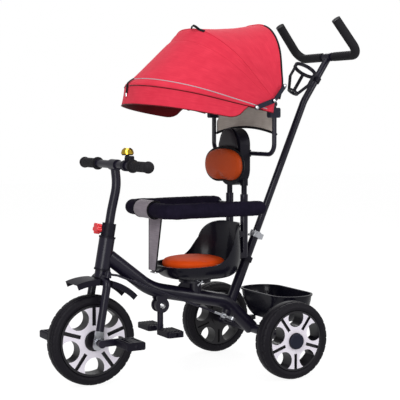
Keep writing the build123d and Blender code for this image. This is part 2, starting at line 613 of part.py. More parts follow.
def bow(angle, half, reach, corner, start):
    """A bent bow of round bar, with flat eyes at its two ends."""
    points = [(half, start), (half - BOW_TAPER, reach), (BOW_TAPER - half, reach), (-half, start)]
    where = fan(angle)
    return bent_tube([where.from_local_coords(Vector(*p, 0)) for p in points], BOW_R, corner)


def cloth_solid(inset):
    """The canopy as a filled shape from its rear edge to its front bow, drawn in by an inset."""
    sections = []
    for angle, reach in ((REAR_BOW[0] + 2, REAR_BOW[1]), MIDDLE_BOW, FRONT_BOW):
        outline = arch_face(CLOTH_HALF - inset, reach - inset, ARCH_CORNER - inset, CLOTH_ROOT)
        sections.append(fan(angle) * outline)
    return loft(sections, ruled=True)


canopy_cloth = cloth_solid(0) - cloth_solid(CLOTH)
canopy_cloth -= Pos(pivot_x, 0, pivot_z) * Box(150, 500, 16)

rear_bow = bow(REAR_BOW[0] - 1, HOOP_HALF, REAR_BOW[1] - 13, 130, 4)
middle_bow = bow(MIDDLE_BOW[0], HOOP_HALF - 9, MIDDLE_BOW[1] - 12, 124, 5)
front_bow = bow(FRONT_BOW[0] + 1.6, HOOP_HALF + 8.5, FRONT_BOW[1] - 24, 140, 5)

eye_low = ring(8, 4 + RUN_FIT, 0, 4)
middle_eye = along_y(pivot_x, HOOP_HALF - 11, pivot_z) * eye_low
front_eye_piece = along_y(pivot_x, HOOP_HALF + 5, pivot_z) * eye_low
middle_bow += both_sides(middle_eye)
front_bow += both_sides(front_eye_piece)
middle_bow -= rod((pivot_x, -200, pivot_z), (pivot_x, 200, pivot_z), 4 + RUN_FIT)
front_bow -= rod((pivot_x, -200, pivot_z), (pivot_x, 200, pivot_z), 4 + RUN_FIT)

block = Pos(pivot_x - 2, HOOP_HALF, 744) * Box(34, 18, 28)
block = fillet(block.edges().filter_by(Axis.Y), 5)
block -= rod((HOOP_X, HOOP_HALF, 700), (HOOP_X, HOOP_HALF, 758), HOOP_R)
tab = along_y(pivot_x, HOOP_HALF - 3, pivot_z) * (Cylinder(9, 5.4, align=UP))
tab += Pos(pivot_x, HOOP_HALF - 0.3, 760) * Box(18, 5.4, 14)
tab -= rod((HOOP_X, HOOP_HALF, 700), (HOOP_X, HOOP_HALF, 758), HOOP_R)
pivot_pin = along_y(pivot_x, HOOP_HALF - 12, pivot_z) * Cylinder(4, 22, align=UP)
canopy_brackets = both_sides(block + tab + pivot_pin)
rear_bow -= both_sides(along_y(pivot_x, HOOP_HALF - 14, pivot_z) * Cylinder(9, 28, align=UP))

visor_outer = fan(FRONT_BOW[0]) * arch_face(CLOTH_HALF, FRONT_BOW[1] + 1, ARCH_CORNER, CLOTH_ROOT)
visor_inner = fan(FRONT_BOW[0]) * arch_face(CLOTH_HALF - 3, FRONT_BOW[1] - 2, ARCH_CORNER - 3, CLOTH_ROOT)
down = fan(FRONT_BOW[0]).z_dir
visor_way = down if down.Z < 0 else down * -1
visor_band = extrude(visor_outer, VISOR_DROP, dir=visor_way) - extrude(visor_inner, VISOR_DROP, dir=visor_way)
visor_keep = Plane.XZ * make_face(
    Polyline((112, 700), (112, 775), (420, 860), (520, 860), (520, 700), (300, 728), (170, 733), close=True)
)
canopy_visor = visor_band & extrude(visor_keep, 300, both=True)

# Two-link stays that hold the canopy open, outside the cloth
stay_rear_at = (16.0, 818.0)
stay_mid_at = (50.0, 777.0)
stay_front_at = (105.0, 758.0)


def stay(start, end, y, width):
    """A flat link with round ends between two rivets, at one depth across the tricycle."""
    (x0, z0), (x1, z1) = start, end
    span = hypot(x1 - x0, z1 - z0)
    link = SlotCenterToCenter(span, width)
    place = Plane(origin=((x0 + x1) / 2, y, (z0 + z1) / 2), x_dir=(x1 - x0, 0, z1 - z0), z_dir=(0, 1, 0))
    return place * extrude(link, 3)


def rivet(at, low, high, radius):
    """A round pin across the tricycle at one of the stay's pivots."""
    return along_y(at[0], low, at[1]) * Cylinder(radius, high - low, align=UP)


stay_y = CLOTH_HALF + 2
rear_link = stay(stay_rear_at, stay_mid_at, stay_y + 3.4, 11)
rear_link -= rivet(stay_rear_at, stay_y, stay_y + 9, 3 + RUN_FIT)
rear_link += rivet(stay_mid_at, stay_y - 0.6, stay_y + 7.4, 3)
rear_rivet = rivet(stay_rear_at, HOOP_HALF - 7, stay_y + 7.4, 3)
rear_rivet += stay(stay_rear_at, (30, stay_rear_at[1]), HOOP_HALF - 7, 10)
front_link = stay(stay_mid_at, stay_front_at, stay_y, 13)
front_link -= rivet(stay_mid_at, stay_y - 2, stay_y + 9, 3 + RUN_FIT)
front_link += rivet(stay_front_at, stay_y, stay_y + 4.5, 4)
stay_rear_links = both_sides(rear_link)
stay_front_links = both_sides(front_link)
rear_bow += both_sides(rear_rivet)
canopy_cloth -= both_sides(rivet(stay_rear_at, HOOP_HALF, stay_y, 3 + GAP))

# Writing one file for each piece

pieces = {
    "main_frame": main_frame,
    "headset_cups": headset_cups,
    "rear_axle": rear_axle,
    "footrest_bracket": footrest_bracket,
    "rear_bin": rear_bin,
    "fork": fork,
    "mudguard": mudguard,
    "stem_collar": stem_collar,
    "clamp_knob": clamp_knob,
    "handlebar": handlebar,
    "grip_left": bar_grip(1),
    "grip_right": bar_grip(-1),
    "bell_base": bell_base,
    "bell_dome": bell_dome,
    "bell_lever": bell_lever,
    "front_tyre": front_tyre,
    "front_wheel": front_wheel,
    "crank": crank,
    "pedal_left": pedal(1),
    "pedal_right": pedal(-1),
    **rear_pieces,
    "steering_rod": steering_rod,
    "pole_lower": pole_lower,
    "pole_collar": pole_collar,
    "pole_clamp": pole_clamp,
    "clamp_lever": clamp_lever,
    "pole_upper": pole_upper,
    "push_grip_left": push_grip(1),
    "push_grip_right": push_grip(-1),
    "bottle_cage": bottle_cage,
    "footrest_post": footrest_post,
    "foot_pad_left": foot_pad(1),
    "foot_pad_right": foot_pad(-1),
    "seat_shell": seat_shell,
    "seat_cushion": seat_cushion,
    "back_posts": back_posts,
    "guard_rail": guard_rail,
    "guard_pad": guard_pad,
    "crotch_strap": crotch_strap,
    "swivel_lever": swivel_lever,
    "back_shell": back_shell,
    "back_pad": back_pad,
    "headrest": headrest,
    "canopy_hoop": canopy_hoop,
    "rear_panel": rear_panel,
    "canopy_brackets": canopy_brackets,
    "rear_bow": rear_bow,
    "middle_bow": middle_bow,
    "front_bow": front_bow,
    "canopy_cloth": canopy_cloth,
    "canopy_visor": canopy_visor,
    "stay_rear_links": stay_rear_links,
    "stay_front_links": stay_front_links,
}

os.makedirs("parts", exist_ok=True)
for name, piece in pieces.items():
    export_step(Pos(ORIGIN_SHIFT, 0, 0) * piece, f"parts/{name}.step")
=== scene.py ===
"""Looks of the children's push tricycle: cloth, pads, tyres, trim, fasteners, finishes, light and camera."""

import math

import bmesh
import bpy
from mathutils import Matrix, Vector, noise


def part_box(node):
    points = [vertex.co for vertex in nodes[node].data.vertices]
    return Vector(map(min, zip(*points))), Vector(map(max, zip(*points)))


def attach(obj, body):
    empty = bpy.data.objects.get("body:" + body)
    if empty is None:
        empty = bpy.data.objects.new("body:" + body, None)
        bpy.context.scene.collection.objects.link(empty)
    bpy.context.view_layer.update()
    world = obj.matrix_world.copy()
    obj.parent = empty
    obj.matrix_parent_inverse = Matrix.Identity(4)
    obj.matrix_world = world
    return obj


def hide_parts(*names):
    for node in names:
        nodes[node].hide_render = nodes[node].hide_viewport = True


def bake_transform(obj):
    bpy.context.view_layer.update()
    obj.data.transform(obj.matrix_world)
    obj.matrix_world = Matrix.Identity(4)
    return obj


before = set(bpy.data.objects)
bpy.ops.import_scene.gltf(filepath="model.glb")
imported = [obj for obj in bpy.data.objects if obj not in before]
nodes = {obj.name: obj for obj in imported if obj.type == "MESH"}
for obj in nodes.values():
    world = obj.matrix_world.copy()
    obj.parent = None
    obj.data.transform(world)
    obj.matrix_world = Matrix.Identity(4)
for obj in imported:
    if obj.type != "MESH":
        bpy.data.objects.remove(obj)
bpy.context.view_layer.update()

# Sizes that the solids use too, in millimetres from the rear axle
SHIFT = -177.25
PIVOT_X, PIVOT_Z = 35.0, 768.0
CLOTH_HALF, CLOTH_ROOT, BOW_TAPER, ARCH_CORNER = 188.5, 14.0, 27.0, 165.0
REAR_BOW, MIDDLE_BOW, FRONT_BOW = (100.0, 234.0), (49.2, 278.0), (5.9, 358.0)
GUARD_Z, GUARD_HALF, GUARD_FRONT, GUARD_BACK = 476.0, 122.0, 341.0, 37.0
GUARD_R, GUARD_CORNER = 22.0, 30.0
SHELL_FRONT = 76.0
FRONT_AXLE_X, FRONT_AXLE_Z = 517.0, 125.0
REAR_AXLE_Z, HALF_TRACK = 110.0, 211.0
FRONT_TYRE, REAR_TYRE = (125.0, 48.0, 98.0), (110.0, 50.0, 84.0)
FRONT_PAINT, REAR_PAINT = (20.5, 28.3, 91.6), (21.5, 23.3, 78.6)

# Canopy cloth, visor and rear panel: millimetres, shares of a panel, or rows and columns of points
CLOTH_THICK, STRAP_THICK = 1.4, 2.4
STITCH_SPACING, STITCH_SIZE = 4.0, (1.5, 0.45, 0.45)
ARCH_POINTS, PANEL_STEPS, SLEEVE_ROW, FOLD_ROW, PULL_COLUMN = 81, 26, 49, 31, 42
REAR_SAG, FRONT_SAG, FOLD_DIP, SLEEVE_SWELL, CLOTH_RIPPLE = 6.0, 1.5, 3.0, 3.5, 0.8
FOLD_AT, FOLD_WIDTH, SLEEVE_AT = 0.17, 0.035, 0.9
TOP_FROM, TOP_TO = 33, 47
LOOP_COLUMN, LOOP_RUN, LOOP_LIFT, LOOP_CLEAR = 36.9, 6.1, 11.0, 1.6
PULL_AWAY = (3.4, -0.4, 1.6)
FRONT_LEAN, LEAN_X = 0.112, 266.0
REAR_BULGE, BULGE_Z, BULGE_SPREAD = 9.0, 52.0, 38.0
VISOR_DROP, VISOR_END_DROP, VISOR_FOOT = 51.0, 36.0, 2.0
VISOR_START, VISOR_RISE, VISOR_AHEAD = 88.0, 52.0, 280.0
VISOR_FLARE, VISOR_RIPPLE = 4.0, 1.2
PANEL_X, PANEL_TOP, PANEL_LOW, PANEL_DIP = 22.4, 769.0, 703.0, 19.0
PANEL_HALF, PANEL_STEP, STEP_AT, STEP_SPAN = 153.5, 10.0, 0.49, 0.08
PANEL_PULL, PANEL_RIPPLE = 3.0, 0.9

# Pads, strap and wheels, in millimetres or shares
BACK_WIDE, BACK_HIGH, BACK_Z, BACK_DEPTH = 208.0, 98.0, 594.5, 34.0
BACK_HOLLOW, BACK_FULL = 6.0, 0.86
HEAD_HALF, HEAD_LOW, HEAD_HIGH, HEAD_DEPTH = 58.0, 640.0, 62.0, 9.0
PAD_SPREAD = (1, 0.15, 0.15)
GUARD_STEPS, GUARD_RING, GUARD_SOFT, GUARD_CREASE = 220, 48, 0.9, 0.7
SEAM_AT, SEAM_WIDTH, SEAM_DEEP, SEAM_COLUMN = 4.4, 0.16, 1.6, 36
STRAP_HALF, STRAP_NARROW, STRAP_TAPER, STRAP_FOOT = 42.0, 2.0, 20.0, (328.0, 303.0)
STRAP_GAP, STRAP_CUP, WRAP_FROM, WRAP_TURN = 2.2, 1.4, -135.0, 315.0
RING_CENTRE, RING_HALVES = (323.0, 297.5), (8.0, 15.0)
LUG_START, LUG_RUN, LUG_DROP, LUG_DIP = (298.0, 309.0), 24.0, 9.0, 3.0
SLOT_LIP, SLOT_START = 0.058, 0.46
TREAD_STEPS, TREAD_EVERY, TREAD_DEEP = 360, 12, 1.3

# Where the bare plated ends of the fork and steering rod begin, and the way they point
FORK_END = ((511.6, 0, 155.0), (0.177, 0, -0.984))
ROD_END = ((151.4, 0, 176.0), (-0.923, 0, -0.384))

# Rivets and bolts by body: name, place in millimetres, radius and height
FASTENERS = {
    "backrest": ("canopy_rear_rivets", (16, CLOTH_HALF + 9.2, 818), 4.6, 3.0),
    "stay_rear": ("canopy_middle_rivets", (50, CLOTH_HALF + 9.2, 777), 4.6, 3.0),
    "stay_front": ("canopy_front_rivets", (105, CLOTH_HALF + 6.3, 758), 5.2, 3.2),
    "frame": ("footrest_bolts", (304, 17.0, 203), 8.5, 5.0),
}

# Lamps: place and aim in metres, size and power. Camera: place and aim in millimetres, and lens
LAMPS = {
    "key": ((2.6, 2.2, 2.8), (0, 0, 0.5), 1.6, 54),
    "fill": ((2.5, 2.8, 0.45), (-0.1, 0, 0.7), 1.6, 38),
    "side": ((-1.8, 2.6, 1.6), (0, 0, 0.5), 1.2, 22),
    "back": ((-1.6, -2.4, 2.4), (0, 0, 0.6), 1.6, 30),
    "top": ((0.2, 0.4, 3.4), (0, 0, 0.5), 2.0, 26),
}
CAMERA_AT, CAMERA_AIM, CAMERA_LENS = (1721.0, 2724.7, 727.8), (174.6, 0, 495.3), 98.7


def place(x, y, z):
    """A point of the layout, in metres in the shared frame."""
    return Vector(((x + SHIFT) / 1000, y / 1000, z / 1000))


# Finishes


def linear(code):
    """An sRGB hex colour as linear red, green, blue and alpha."""
    channels = [int(code[i:i + 2], 16) / 255 for i in (1, 3, 5)]
    return [c / 12.92 if c <= 0.04045 else ((c + 0.055) / 1.055) ** 2.4 for c in channels] + [1.0]


def add(tree, kind, inputs=None, **settings):
    """Adds one node, sets its properties, then fills or links its inputs."""
    made = tree.nodes.new(kind)
    for name, value in settings.items():
        setattr(made, name, value)
    for name, value in (inputs or {}).items():
        if isinstance(value, bpy.types.NodeSocket):
            tree.links.new(value, made.inputs[name])
        else:
            made.inputs[name].default_value = value
    return made


def new_finish(name, **sockets):
    """An empty material with one shader, whose plain values are set on its own sockets."""
    material = bpy.data.materials.new(name)
    material.use_nodes = True
    tree = material.node_tree
    shader = tree.nodes["Principled BSDF"]
    for socket, value in sockets.items():
        shader.inputs[socket.replace("_", " ")].default_value = value
    return material, tree, shader


def per_mm(size):
    """The scale of a noise or cell pattern on metre coordinates whose grain is so many millimetres."""
    return 1000.0 / size


def surface(tree, shader, colours, roughness, mottle, grain, depth, cells=False):
    """Colour and roughness that vary over a mottle in millimetres, and a fine grain pressed in as bump."""
    spot = add(tree, "ShaderNodeTexCoord")
    patch = add(
        tree, "ShaderNodeTexNoise", {"Vector": spot.outputs["Object"], "Scale": per_mm(mottle), "Detail": 4}
    )
    tint = add(tree, "ShaderNodeMix", {0: patch.outputs[0]}, data_type="RGBA")
    tint.inputs[6].default_value, tint.inputs[7].default_value = linear(colours[0]), linear(colours[1])
    tree.links.new(tint.outputs[2], shader.inputs["Base Color"])
    sheen = add(tree, "ShaderNodeMapRange", {0: patch.outputs[0], 3: roughness[0], 4: roughness[1]})
    tree.links.new(sheen.outputs[0], shader.inputs["Roughness"])
    kind = "ShaderNodeTexVoronoi" if cells else "ShaderNodeTexNoise"
    fine = add(tree, kind, {"Vector": spot.outputs["Object"], "Scale": per_mm(grain)})
    bump = add(
        tree, "ShaderNodeBump", {"Height": fine.outputs[0], "Distance": depth / 1000, "Strength": 0.6}
    )
    tree.links.new(bump.outputs[0], shader.inputs["Normal"])


SATIN_BLACK = ("#120F1D", "#1A1628")


def powder_coat():
    """Satin black powder coat on steel: soft long highlights over a faint orange peel."""
    material, tree, shader = new_finish(
        "black_powder_coat", Specular_IOR_Level=0.32, Coat_Weight=0.10, Coat_Roughness=0.18
    )
    surface(tree, shader, SATIN_BLACK, (0.26, 0.36), 60, 1.4, 0.06)
    return material


def brushed_steel():
    """Zinc-plated steel, turned and brushed: bright and streaked across the light."""
    material, tree, shader = new_finish("zinc_plated_steel", Metallic=1.0)
    surface(tree, shader, ("#B9BBC2", "#DADCE2"), (0.18, 0.34), 8, 0.7, 0.03)
    return material


def chrome_plate():
    """Bright nickel plate on rivets, nuts and caps: mirror-like with faint haze."""
    material, tree, shader = new_finish("bright_nickel_plate", Metallic=1.0)
    surface(tree, shader, ("#D8D8DC", "#F0F0F3"), (0.06, 0.16), 20, 1.0, 0.01)
    return material


def plated_end(name, spot, way):
    """Satin black coat up to a plane, past which the bare zinc-plated steel shows."""
    material, tree, shader = new_finish(name, Specular_IOR_Level=0.32)
    surface(tree, shader, SATIN_BLACK, (0.26, 0.36), 60, 1.4, 0.06)
    coords = add(tree, "ShaderNodeTexCoord")
    past = add(
        tree, "ShaderNodeVectorMath", {0: coords.outputs["Object"], 1: tuple(place(*spot))},
        operation="SUBTRACT",
    )
    depth = add(tree, "ShaderNodeVectorMath", {0: past.outputs[0], 1: way}, operation="DOT_PRODUCT")
    bare = add(tree, "ShaderNodeMath", {0: depth.outputs[1], 1: 0.0}, operation="GREATER_THAN")
    coat = shader.inputs["Base Color"].links[0].from_socket
    tone = add(tree, "ShaderNodeMix", {0: bare.outputs[0]}, data_type="RGBA")
    tree.links.new(coat, tone.inputs[6])
    tone.inputs[7].default_value = linear("#C9CBD1")
    tree.links.new(tone.outputs[2], shader.inputs["Base Color"])
    tree.links.new(bare.outputs[0], shader.inputs["Metallic"])
    return material


def moulded_abs(name, dark, light):
    """Moulded ABS with a spark-eroded grain: an even grey sheen."""
    material, tree, shader = new_finish(name, IOR=1.36, Specular_IOR_Level=0.3)
    surface(tree, shader, (dark, light), (0.36, 0.50), 45, 0.9, 0.05, cells=True)
    return material


def grey_vinyl():
    """Light grey vinyl piping: smooth, with a faint shine."""
    material, tree, shader = new_finish("grey_vinyl_piping", IOR=1.5, Specular_IOR_Level=0.4)
    surface(tree, shader, ("#A2949C", "#BDB0B7"), (0.34, 0.46), 12, 1.0, 0.02)
    return material


def gloss_shell():
    """Gloss polypropylene of the bucket seat and bin: clean sharp highlights on near black."""
    material, tree, shader = new_finish(
        "gloss_black_polypropylene", IOR=1.36, Specular_IOR_Level=0.3, Coat_Weight=0.16, Coat_Roughness=0.1
    )
    surface(tree, shader, ("#0A0913", "#11101D"), (0.22, 0.30), 90, 6.0, 0.02)
    return material


def tyre_rubber():
    """Moulded rubber tyre: dull charcoal with dust in the pores."""
    material, tree, shader = new_finish("moulded_tyre_rubber", IOR=1.38, Specular_IOR_Level=0.3)
    surface(tree, shader, ("#0D0B12", "#16131B"), (0.46, 0.60), 25, 0.8, 0.08)
    return material


def foam_rubber():
    """Closed-cell foam and soft rubber of the grips: matt, with fine cells."""
    material, tree, shader = new_finish("closed_cell_foam_rubber", IOR=1.5, Specular_IOR_Level=0.3)
    surface(tree, shader, ("#111014", "#1B191F"), (0.62, 0.82), 18, 1.1, 0.10, cells=True)
    return material


def red_nylon():
    """Red moulded nylon of the clamp knob: glossy, with a little flow mottle."""
    material, tree, shader = new_finish("red_moulded_nylon", IOR=1.53, Coat_Weight=0.3, Coat_Roughness=0.1)
    surface(tree, shader, ("#D81822", "#E92B33"), (0.22, 0.32), 10, 1.2, 0.03)
    return material


def bell_brass():
    """Polished lacquered brass of the bell's dome."""
    material, tree, shader = new_finish(
        "lacquered_brass", Metallic=1.0, Coat_Weight=0.5, Coat_Roughness=0.06
    )
    surface(tree, shader, ("#D2A521", "#E8C648"), (0.12, 0.22), 9, 0.8, 0.01)
    return material


def leatherette(name, dark, light, gloss, shine):
    """Stuffed leather-cloth: pebble grain 1.6 mm wide, drawn a little coarse to show, and a soft shine."""
    material, tree, shader = new_finish(
        name, IOR=1.3, Specular_IOR_Level=shine, Coat_Weight=0.03, Coat_Roughness=0.3
    )
    surface(tree, shader, (dark, light), gloss, 55, 1.6, 0.10, cells=True)
    return material


def canvas(name, dark, light, thread, roughness=0.82, sheen=0.25, gloss=0.25):
    """Woven polyester: threads on the cloth's own map, drawn coarse to show, with slubs and sheen."""
    material, tree, shader = new_finish(
        name, IOR=1.3, Specular_IOR_Level=gloss, Sheen_Weight=sheen, Sheen_Roughness=0.45
    )
    cloth = add(tree, "ShaderNodeUVMap", uv_map="cut_mm")
    rows = add(tree, "ShaderNodeMapping", {"Vector": cloth.outputs[0], "Scale": (0.02, 0.35, 1.0)})
    slub = add(tree, "ShaderNodeTexNoise", {"Vector": rows.outputs[0], "Scale": 1.0, "Detail": 3})
    patch = add(tree, "ShaderNodeTexNoise", {"Vector": cloth.outputs[0], "Scale": 0.03, "Detail": 3})
    both = add(tree, "ShaderNodeMath", {0: slub.outputs[0], 1: patch.outputs[0]}, operation="MULTIPLY")
    share = add(tree, "ShaderNodeMapRange", {0: both.outputs[0], 1: 0.12, 2: 0.42})
    tint = add(tree, "ShaderNodeMix", {0: share.outputs[0]}, data_type="RGBA")
    tint.inputs[6].default_value, tint.inputs[7].default_value = linear(dark), linear(light)
    tree.links.new(tint.outputs[2], shader.inputs["Base Color"])
    shine = add(tree, "ShaderNodeMapRange", {0: patch.outputs[0], 3: roughness - 0.08, 4: roughness + 0.08})
    tree.links.new(shine.outputs[0], shader.inputs["Roughness"])
    pitch = math.pi / 10 / thread
    warp = add(tree, "ShaderNodeTexWave", {"Vector": cloth.outputs[0], "Scale": pitch, "Distortion": 0.6})
    weft = add(
        tree, "ShaderNodeTexWave", {"Vector": cloth.outputs[0], "Scale": pitch, "Distortion": 0.6},
        bands_direction="Y",
    )
    weave = add(tree, "ShaderNodeMath", {0: warp.outputs[1], 1: weft.outputs[1]}, operation="MULTIPLY")
    bump = add(tree, "ShaderNodeBump", {"Height": weave.outputs[0], "Distance": 0.00016, "Strength": 0.7})
    tree.links.new(bump.outputs[0], shader.inputs["Normal"])
    return material


def wheel_paint(name, axle, size, slot_turn):
    """Black moulded wheel, white on its outer face but for the holes, hub, rim and lips of the slots."""
    material, tree, shader = new_finish(
        name, IOR=1.5, Specular_IOR_Level=0.4, Coat_Weight=0.1, Coat_Roughness=0.2
    )
    surface(tree, shader, ("#E2DCE8", "#F0EBF4"), (0.28, 0.40), 30, 2.0, 0.03)
    face, hub_r, rim_r = (s / 1000 for s in size)

    def reckon(operation, first, second=0.0):
        """The outcome of one step of arithmetic."""
        return add(tree, "ShaderNodeMath", {0: first, 1: second}, operation=operation).outputs[0]

    spot = add(tree, "ShaderNodeTexCoord").outputs["Object"]
    centred = add(tree, "ShaderNodeVectorMath", {0: spot, 1: tuple(place(*axle))}, operation="SUBTRACT")
    x, y, z = add(tree, "ShaderNodeSeparateXYZ", {0: centred.outputs[0]}).outputs
    flat = add(tree, "ShaderNodeCombineXYZ", {0: x, 1: z})
    out = add(tree, "ShaderNodeVectorMath", {0: flat.outputs[0]}, operation="LENGTH").outputs[1]
    if axle[1] == 0:
        side = reckon("ABSOLUTE", y)
    else:
        side = reckon("MULTIPLY", y, math.copysign(1.0, axle[1]))
    on_face = reckon("GREATER_THAN", side, face)
    past_hub = reckon("GREATER_THAN", out, hub_r)
    in_rim = reckon("LESS_THAN", out, rim_r)
    face_area = reckon("MULTIPLY", reckon("MULTIPLY", on_face, past_hub), in_rim)
    turn = reckon("ADD", reckon("ARCTAN2", x, z), slot_turn)
    from_slot = reckon("PINGPONG", turn, math.pi / 5)
    across = reckon("MULTIPLY", reckon("SINE", from_slot), out)
    beside = reckon("GREATER_THAN", across, SLOT_LIP * rim_r)
    before = reckon("LESS_THAN", out, SLOT_START * rim_r)
    painted = reckon("MULTIPLY", face_area, reckon("MAXIMUM", beside, before))
    white = shader.inputs["Base Color"].links[0].from_socket
    two_tone = add(tree, "ShaderNodeMix", {0: painted}, data_type="RGBA")
    two_tone.inputs[6].default_value = linear("#16141A")
    tree.links.new(white, two_tone.inputs[7])
    tree.links.new(two_tone.outputs[2], shader.inputs["Base Color"])
    return material


POWDER, STEEL, CHROME = powder_coat(), brushed_steel(), chrome_plate()
ABS = moulded_abs("black_moulded_abs", "#0F0D17", "#171422")
NAVY = moulded_abs("navy_moulded_abs", "#151826", "#1F2334")
TYRE, FOAM, SHELL = tyre_rubber(), foam_rubber(), gloss_shell()
CORAL = canvas("coral_canvas", "#D22F45", "#DE3A4F", 1.8, sheen=0.08)
LINING = canvas("dark_red_lining", "#4C0007", "#64060F", 1.8)
# The taupe is set paler than the cloth's own colour: painted light, making up for the shade the panel sits
# in under the canopy.
TAUPE = canvas("taupe_canvas", "#C0B5AC", "#D6CCC4", 1.6)
GUARD_CLOTH = canvas(
    "black_padded_cloth", "#151220", "#1F1A2B", 1.4, roughness=0.84, sheen=0.0, gloss=0.12
)
STRAP_CLOTH = canvas("lavender_grey_cloth", "#80767F", "#958B94", 1.4)
WEBBING = canvas("black_webbing", "#0F0E12", "#1B1A1F", 1.2, sheen=0.05)
PIPING = grey_vinyl()
SEAT_SKIN = leatherette("orange_leather_cloth", "#D2440F", "#E65318", (0.52, 0.62), 0.08)
BACK_SKIN = leatherette("rust_leather_cloth", "#A83C14", "#BC4A1E", (0.36, 0.48), 0.28)
HEAD_SKIN = leatherette("charcoal_leather_cloth", "#242126", "#383439", (0.30, 0.40), 0.42)


# Mesh helpers


def new_piece(name, mesh, *materials):
    """A new object for a mesh, with its finishes."""
    piece = bpy.data.objects.new(name, mesh)
    bpy.context.scene.collection.objects.link(piece)
    for material in materials:
        mesh.materials.append(material)
    return piece


def settle(piece):
    """Applies a piece's modifiers, so that it is one plain mesh."""
    bpy.context.view_layer.update()
    graph = bpy.context.evaluated_depsgraph_get()
    mesh = bpy.data.meshes.new_from_object(piece.evaluated_get(graph))
    if piece.type == "MESH":
        piece.modifiers.clear()
        piece.data = mesh
        return piece
    made = new_piece(piece.name + "_mesh", mesh)
    name = piece.name
    bpy.data.objects.remove(piece)
    made.name = name
    return made


def smooth(piece):
    """Smooth shading all over."""
    for face in piece.data.polygons:
        face.use_smooth = True
    return piece


def lengths_along(points):
    """The distance along a line of points to each of them."""
    lengths = [0.0]
    for a, b in zip(points, points[1:]):
        lengths.append(lengths[-1] + (b - a).length)
    return lengths


def spaced(points, count):
    """So many points at even steps along a line of points."""
    lengths = lengths_along(points)
    out = []
    spot = 0
    for k in range(count):
        goal = lengths[-1] * k / (count - 1)
        while spot < len(lengths) - 2 and lengths[spot + 1] < goal:
            spot += 1
        share = (goal - lengths[spot]) / max(lengths[spot + 1] - lengths[spot], 1e-9)
        out.append(points[spot].lerp(points[spot + 1], min(share, 1.0)))
    return out


def quads(rows, wide, closed):
    """The corners of each face of a grid, by the number of its rows and of the points in a row."""
    faces = []
    for r in range(rows - 1):
        for c in range(wide if closed else wide - 1):
            d = (c + 1) % wide
            faces.append((r * wide + c, r * wide + d, (r + 1) * wide + d, (r + 1) * wide + c))
    return faces


def grid_mesh(name, rows, closed=False):
    """A quad grid through rows of points, with a map in millimetres of cloth."""
    mesh = bpy.data.meshes.new(name)
    wide = len(rows[0])
    steps = wide if closed else wide - 1
    mesh.from_pydata([p for row in rows for p in row], [], quads(len(rows), wide, closed))
    across = [lengths_along(row + row[:1] if closed else row) for row in rows]
    along = lengths_along([row[wide // 2] for row in rows])
    layer = mesh.uv_layers.new(name="cut_mm")
    for f, face in enumerate(mesh.polygons):
        r, c = divmod(f, steps)
        spots = ((r, c), (r, c + 1), (r + 1, c + 1), (r + 1, c))
        for loop, (i, j) in zip(face.loop_indices, spots):
            half = across[i][-1] / 2
            layer.data[loop].uv = (1000 * (across[i][j] - half), 1000 * along[i])
    return mesh


def thick(piece, thickness, offset=-1.0, lining=0):
    """Gives a sheet its thickness in millimetres, with the lining on its inner side."""
    wall = piece.modifiers.new("wall", "SOLIDIFY")
    wall.thickness = thickness / 1000
    wall.offset = offset
    wall.material_offset = lining
    return settle(piece)


def sheet_facts(rows):
    """The flat width, length and area in metres of a sheet made from rows of points."""
    widths = [lengths_along(row)[-1] for row in rows]
    lengths = [lengths_along(column)[-1] for column in zip(*rows)]
    area = 0.0
    for r in range(len(rows) - 1):
        for c in range(len(rows[0]) - 1):
            a, b, d, e = rows[r][c], rows[r][c + 1], rows[r + 1][c + 1], rows[r + 1][c]
            area += ((b - a).cross(e - a).length + (b - d).cross(e - d).length) / 2
    return (max(widths), max(lengths)), area


def cloth_sheet(name, rows, materials, thickness=CLOTH_THICK, offset=-1.0):
    """A sheet of cloth through rows of points, lined with its second finish, and its flat size and area."""
    piece = new_piece(name, grid_mesh(name, rows), *materials)
    thick(piece, thickness, offset, lining=len(materials) - 1)
    flat, area = sheet_facts(rows)
    return smooth(piece), flat, area


def path_curve(name, points, closed=False):
    """A curve object through dense points."""
    curve = bpy.data.curves.new(name, "CURVE")
    curve.dimensions = "3D"
    spline = curve.splines.new("POLY")
    spline.points.add(len(points) - 1)
    for spot, point in zip(spline.points, points):
        spot.co = (*point, 1.0)
    spline.use_cyclic_u = closed
    return new_piece(name, curve)


def trim(name, points, radius, material, closed=False):
    """A round trim, such as piping or a bound edge, along points; its radius is in millimetres."""
    line = path_curve(name, points, closed)
    line.data.bevel_depth = radius / 1000
    line.data.bevel_resolution = 3
    line.data.use_fill_caps = True
    line.data.materials.append(material)
    return smooth(settle(line))


# Geometry Nodes for what repeats


def new_tree(name, inputs):
    """An empty node tree for a modifier, with its named inputs."""
    tree = bpy.data.node_groups.new(name, "GeometryNodeTree")
    tree.interface.new_socket("Geometry", in_out="INPUT", socket_type="NodeSocketGeometry")
    for label, kind in inputs:
        tree.interface.new_socket(label, in_out="INPUT", socket_type=kind)
    tree.interface.new_socket("Geometry", in_out="OUTPUT", socket_type="NodeSocketGeometry")
    return tree, add(tree, "NodeGroupInput"), add(tree, "NodeGroupOutput")


def close_tree(tree, group, end, instances):
    """Ends a tree in real geometry with its material."""
    real = add(tree, "GeometryNodeRealizeInstances", {0: instances})
    shaded = add(tree, "GeometryNodeSetShadeSmooth", {0: real.outputs[0]})
    dressed = add(
        tree, "GeometryNodeSetMaterial", {0: shaded.outputs[0], "Material": group.outputs["Material"]}
    )
    tree.links.new(dressed.outputs[0], end.inputs[0])
    return tree


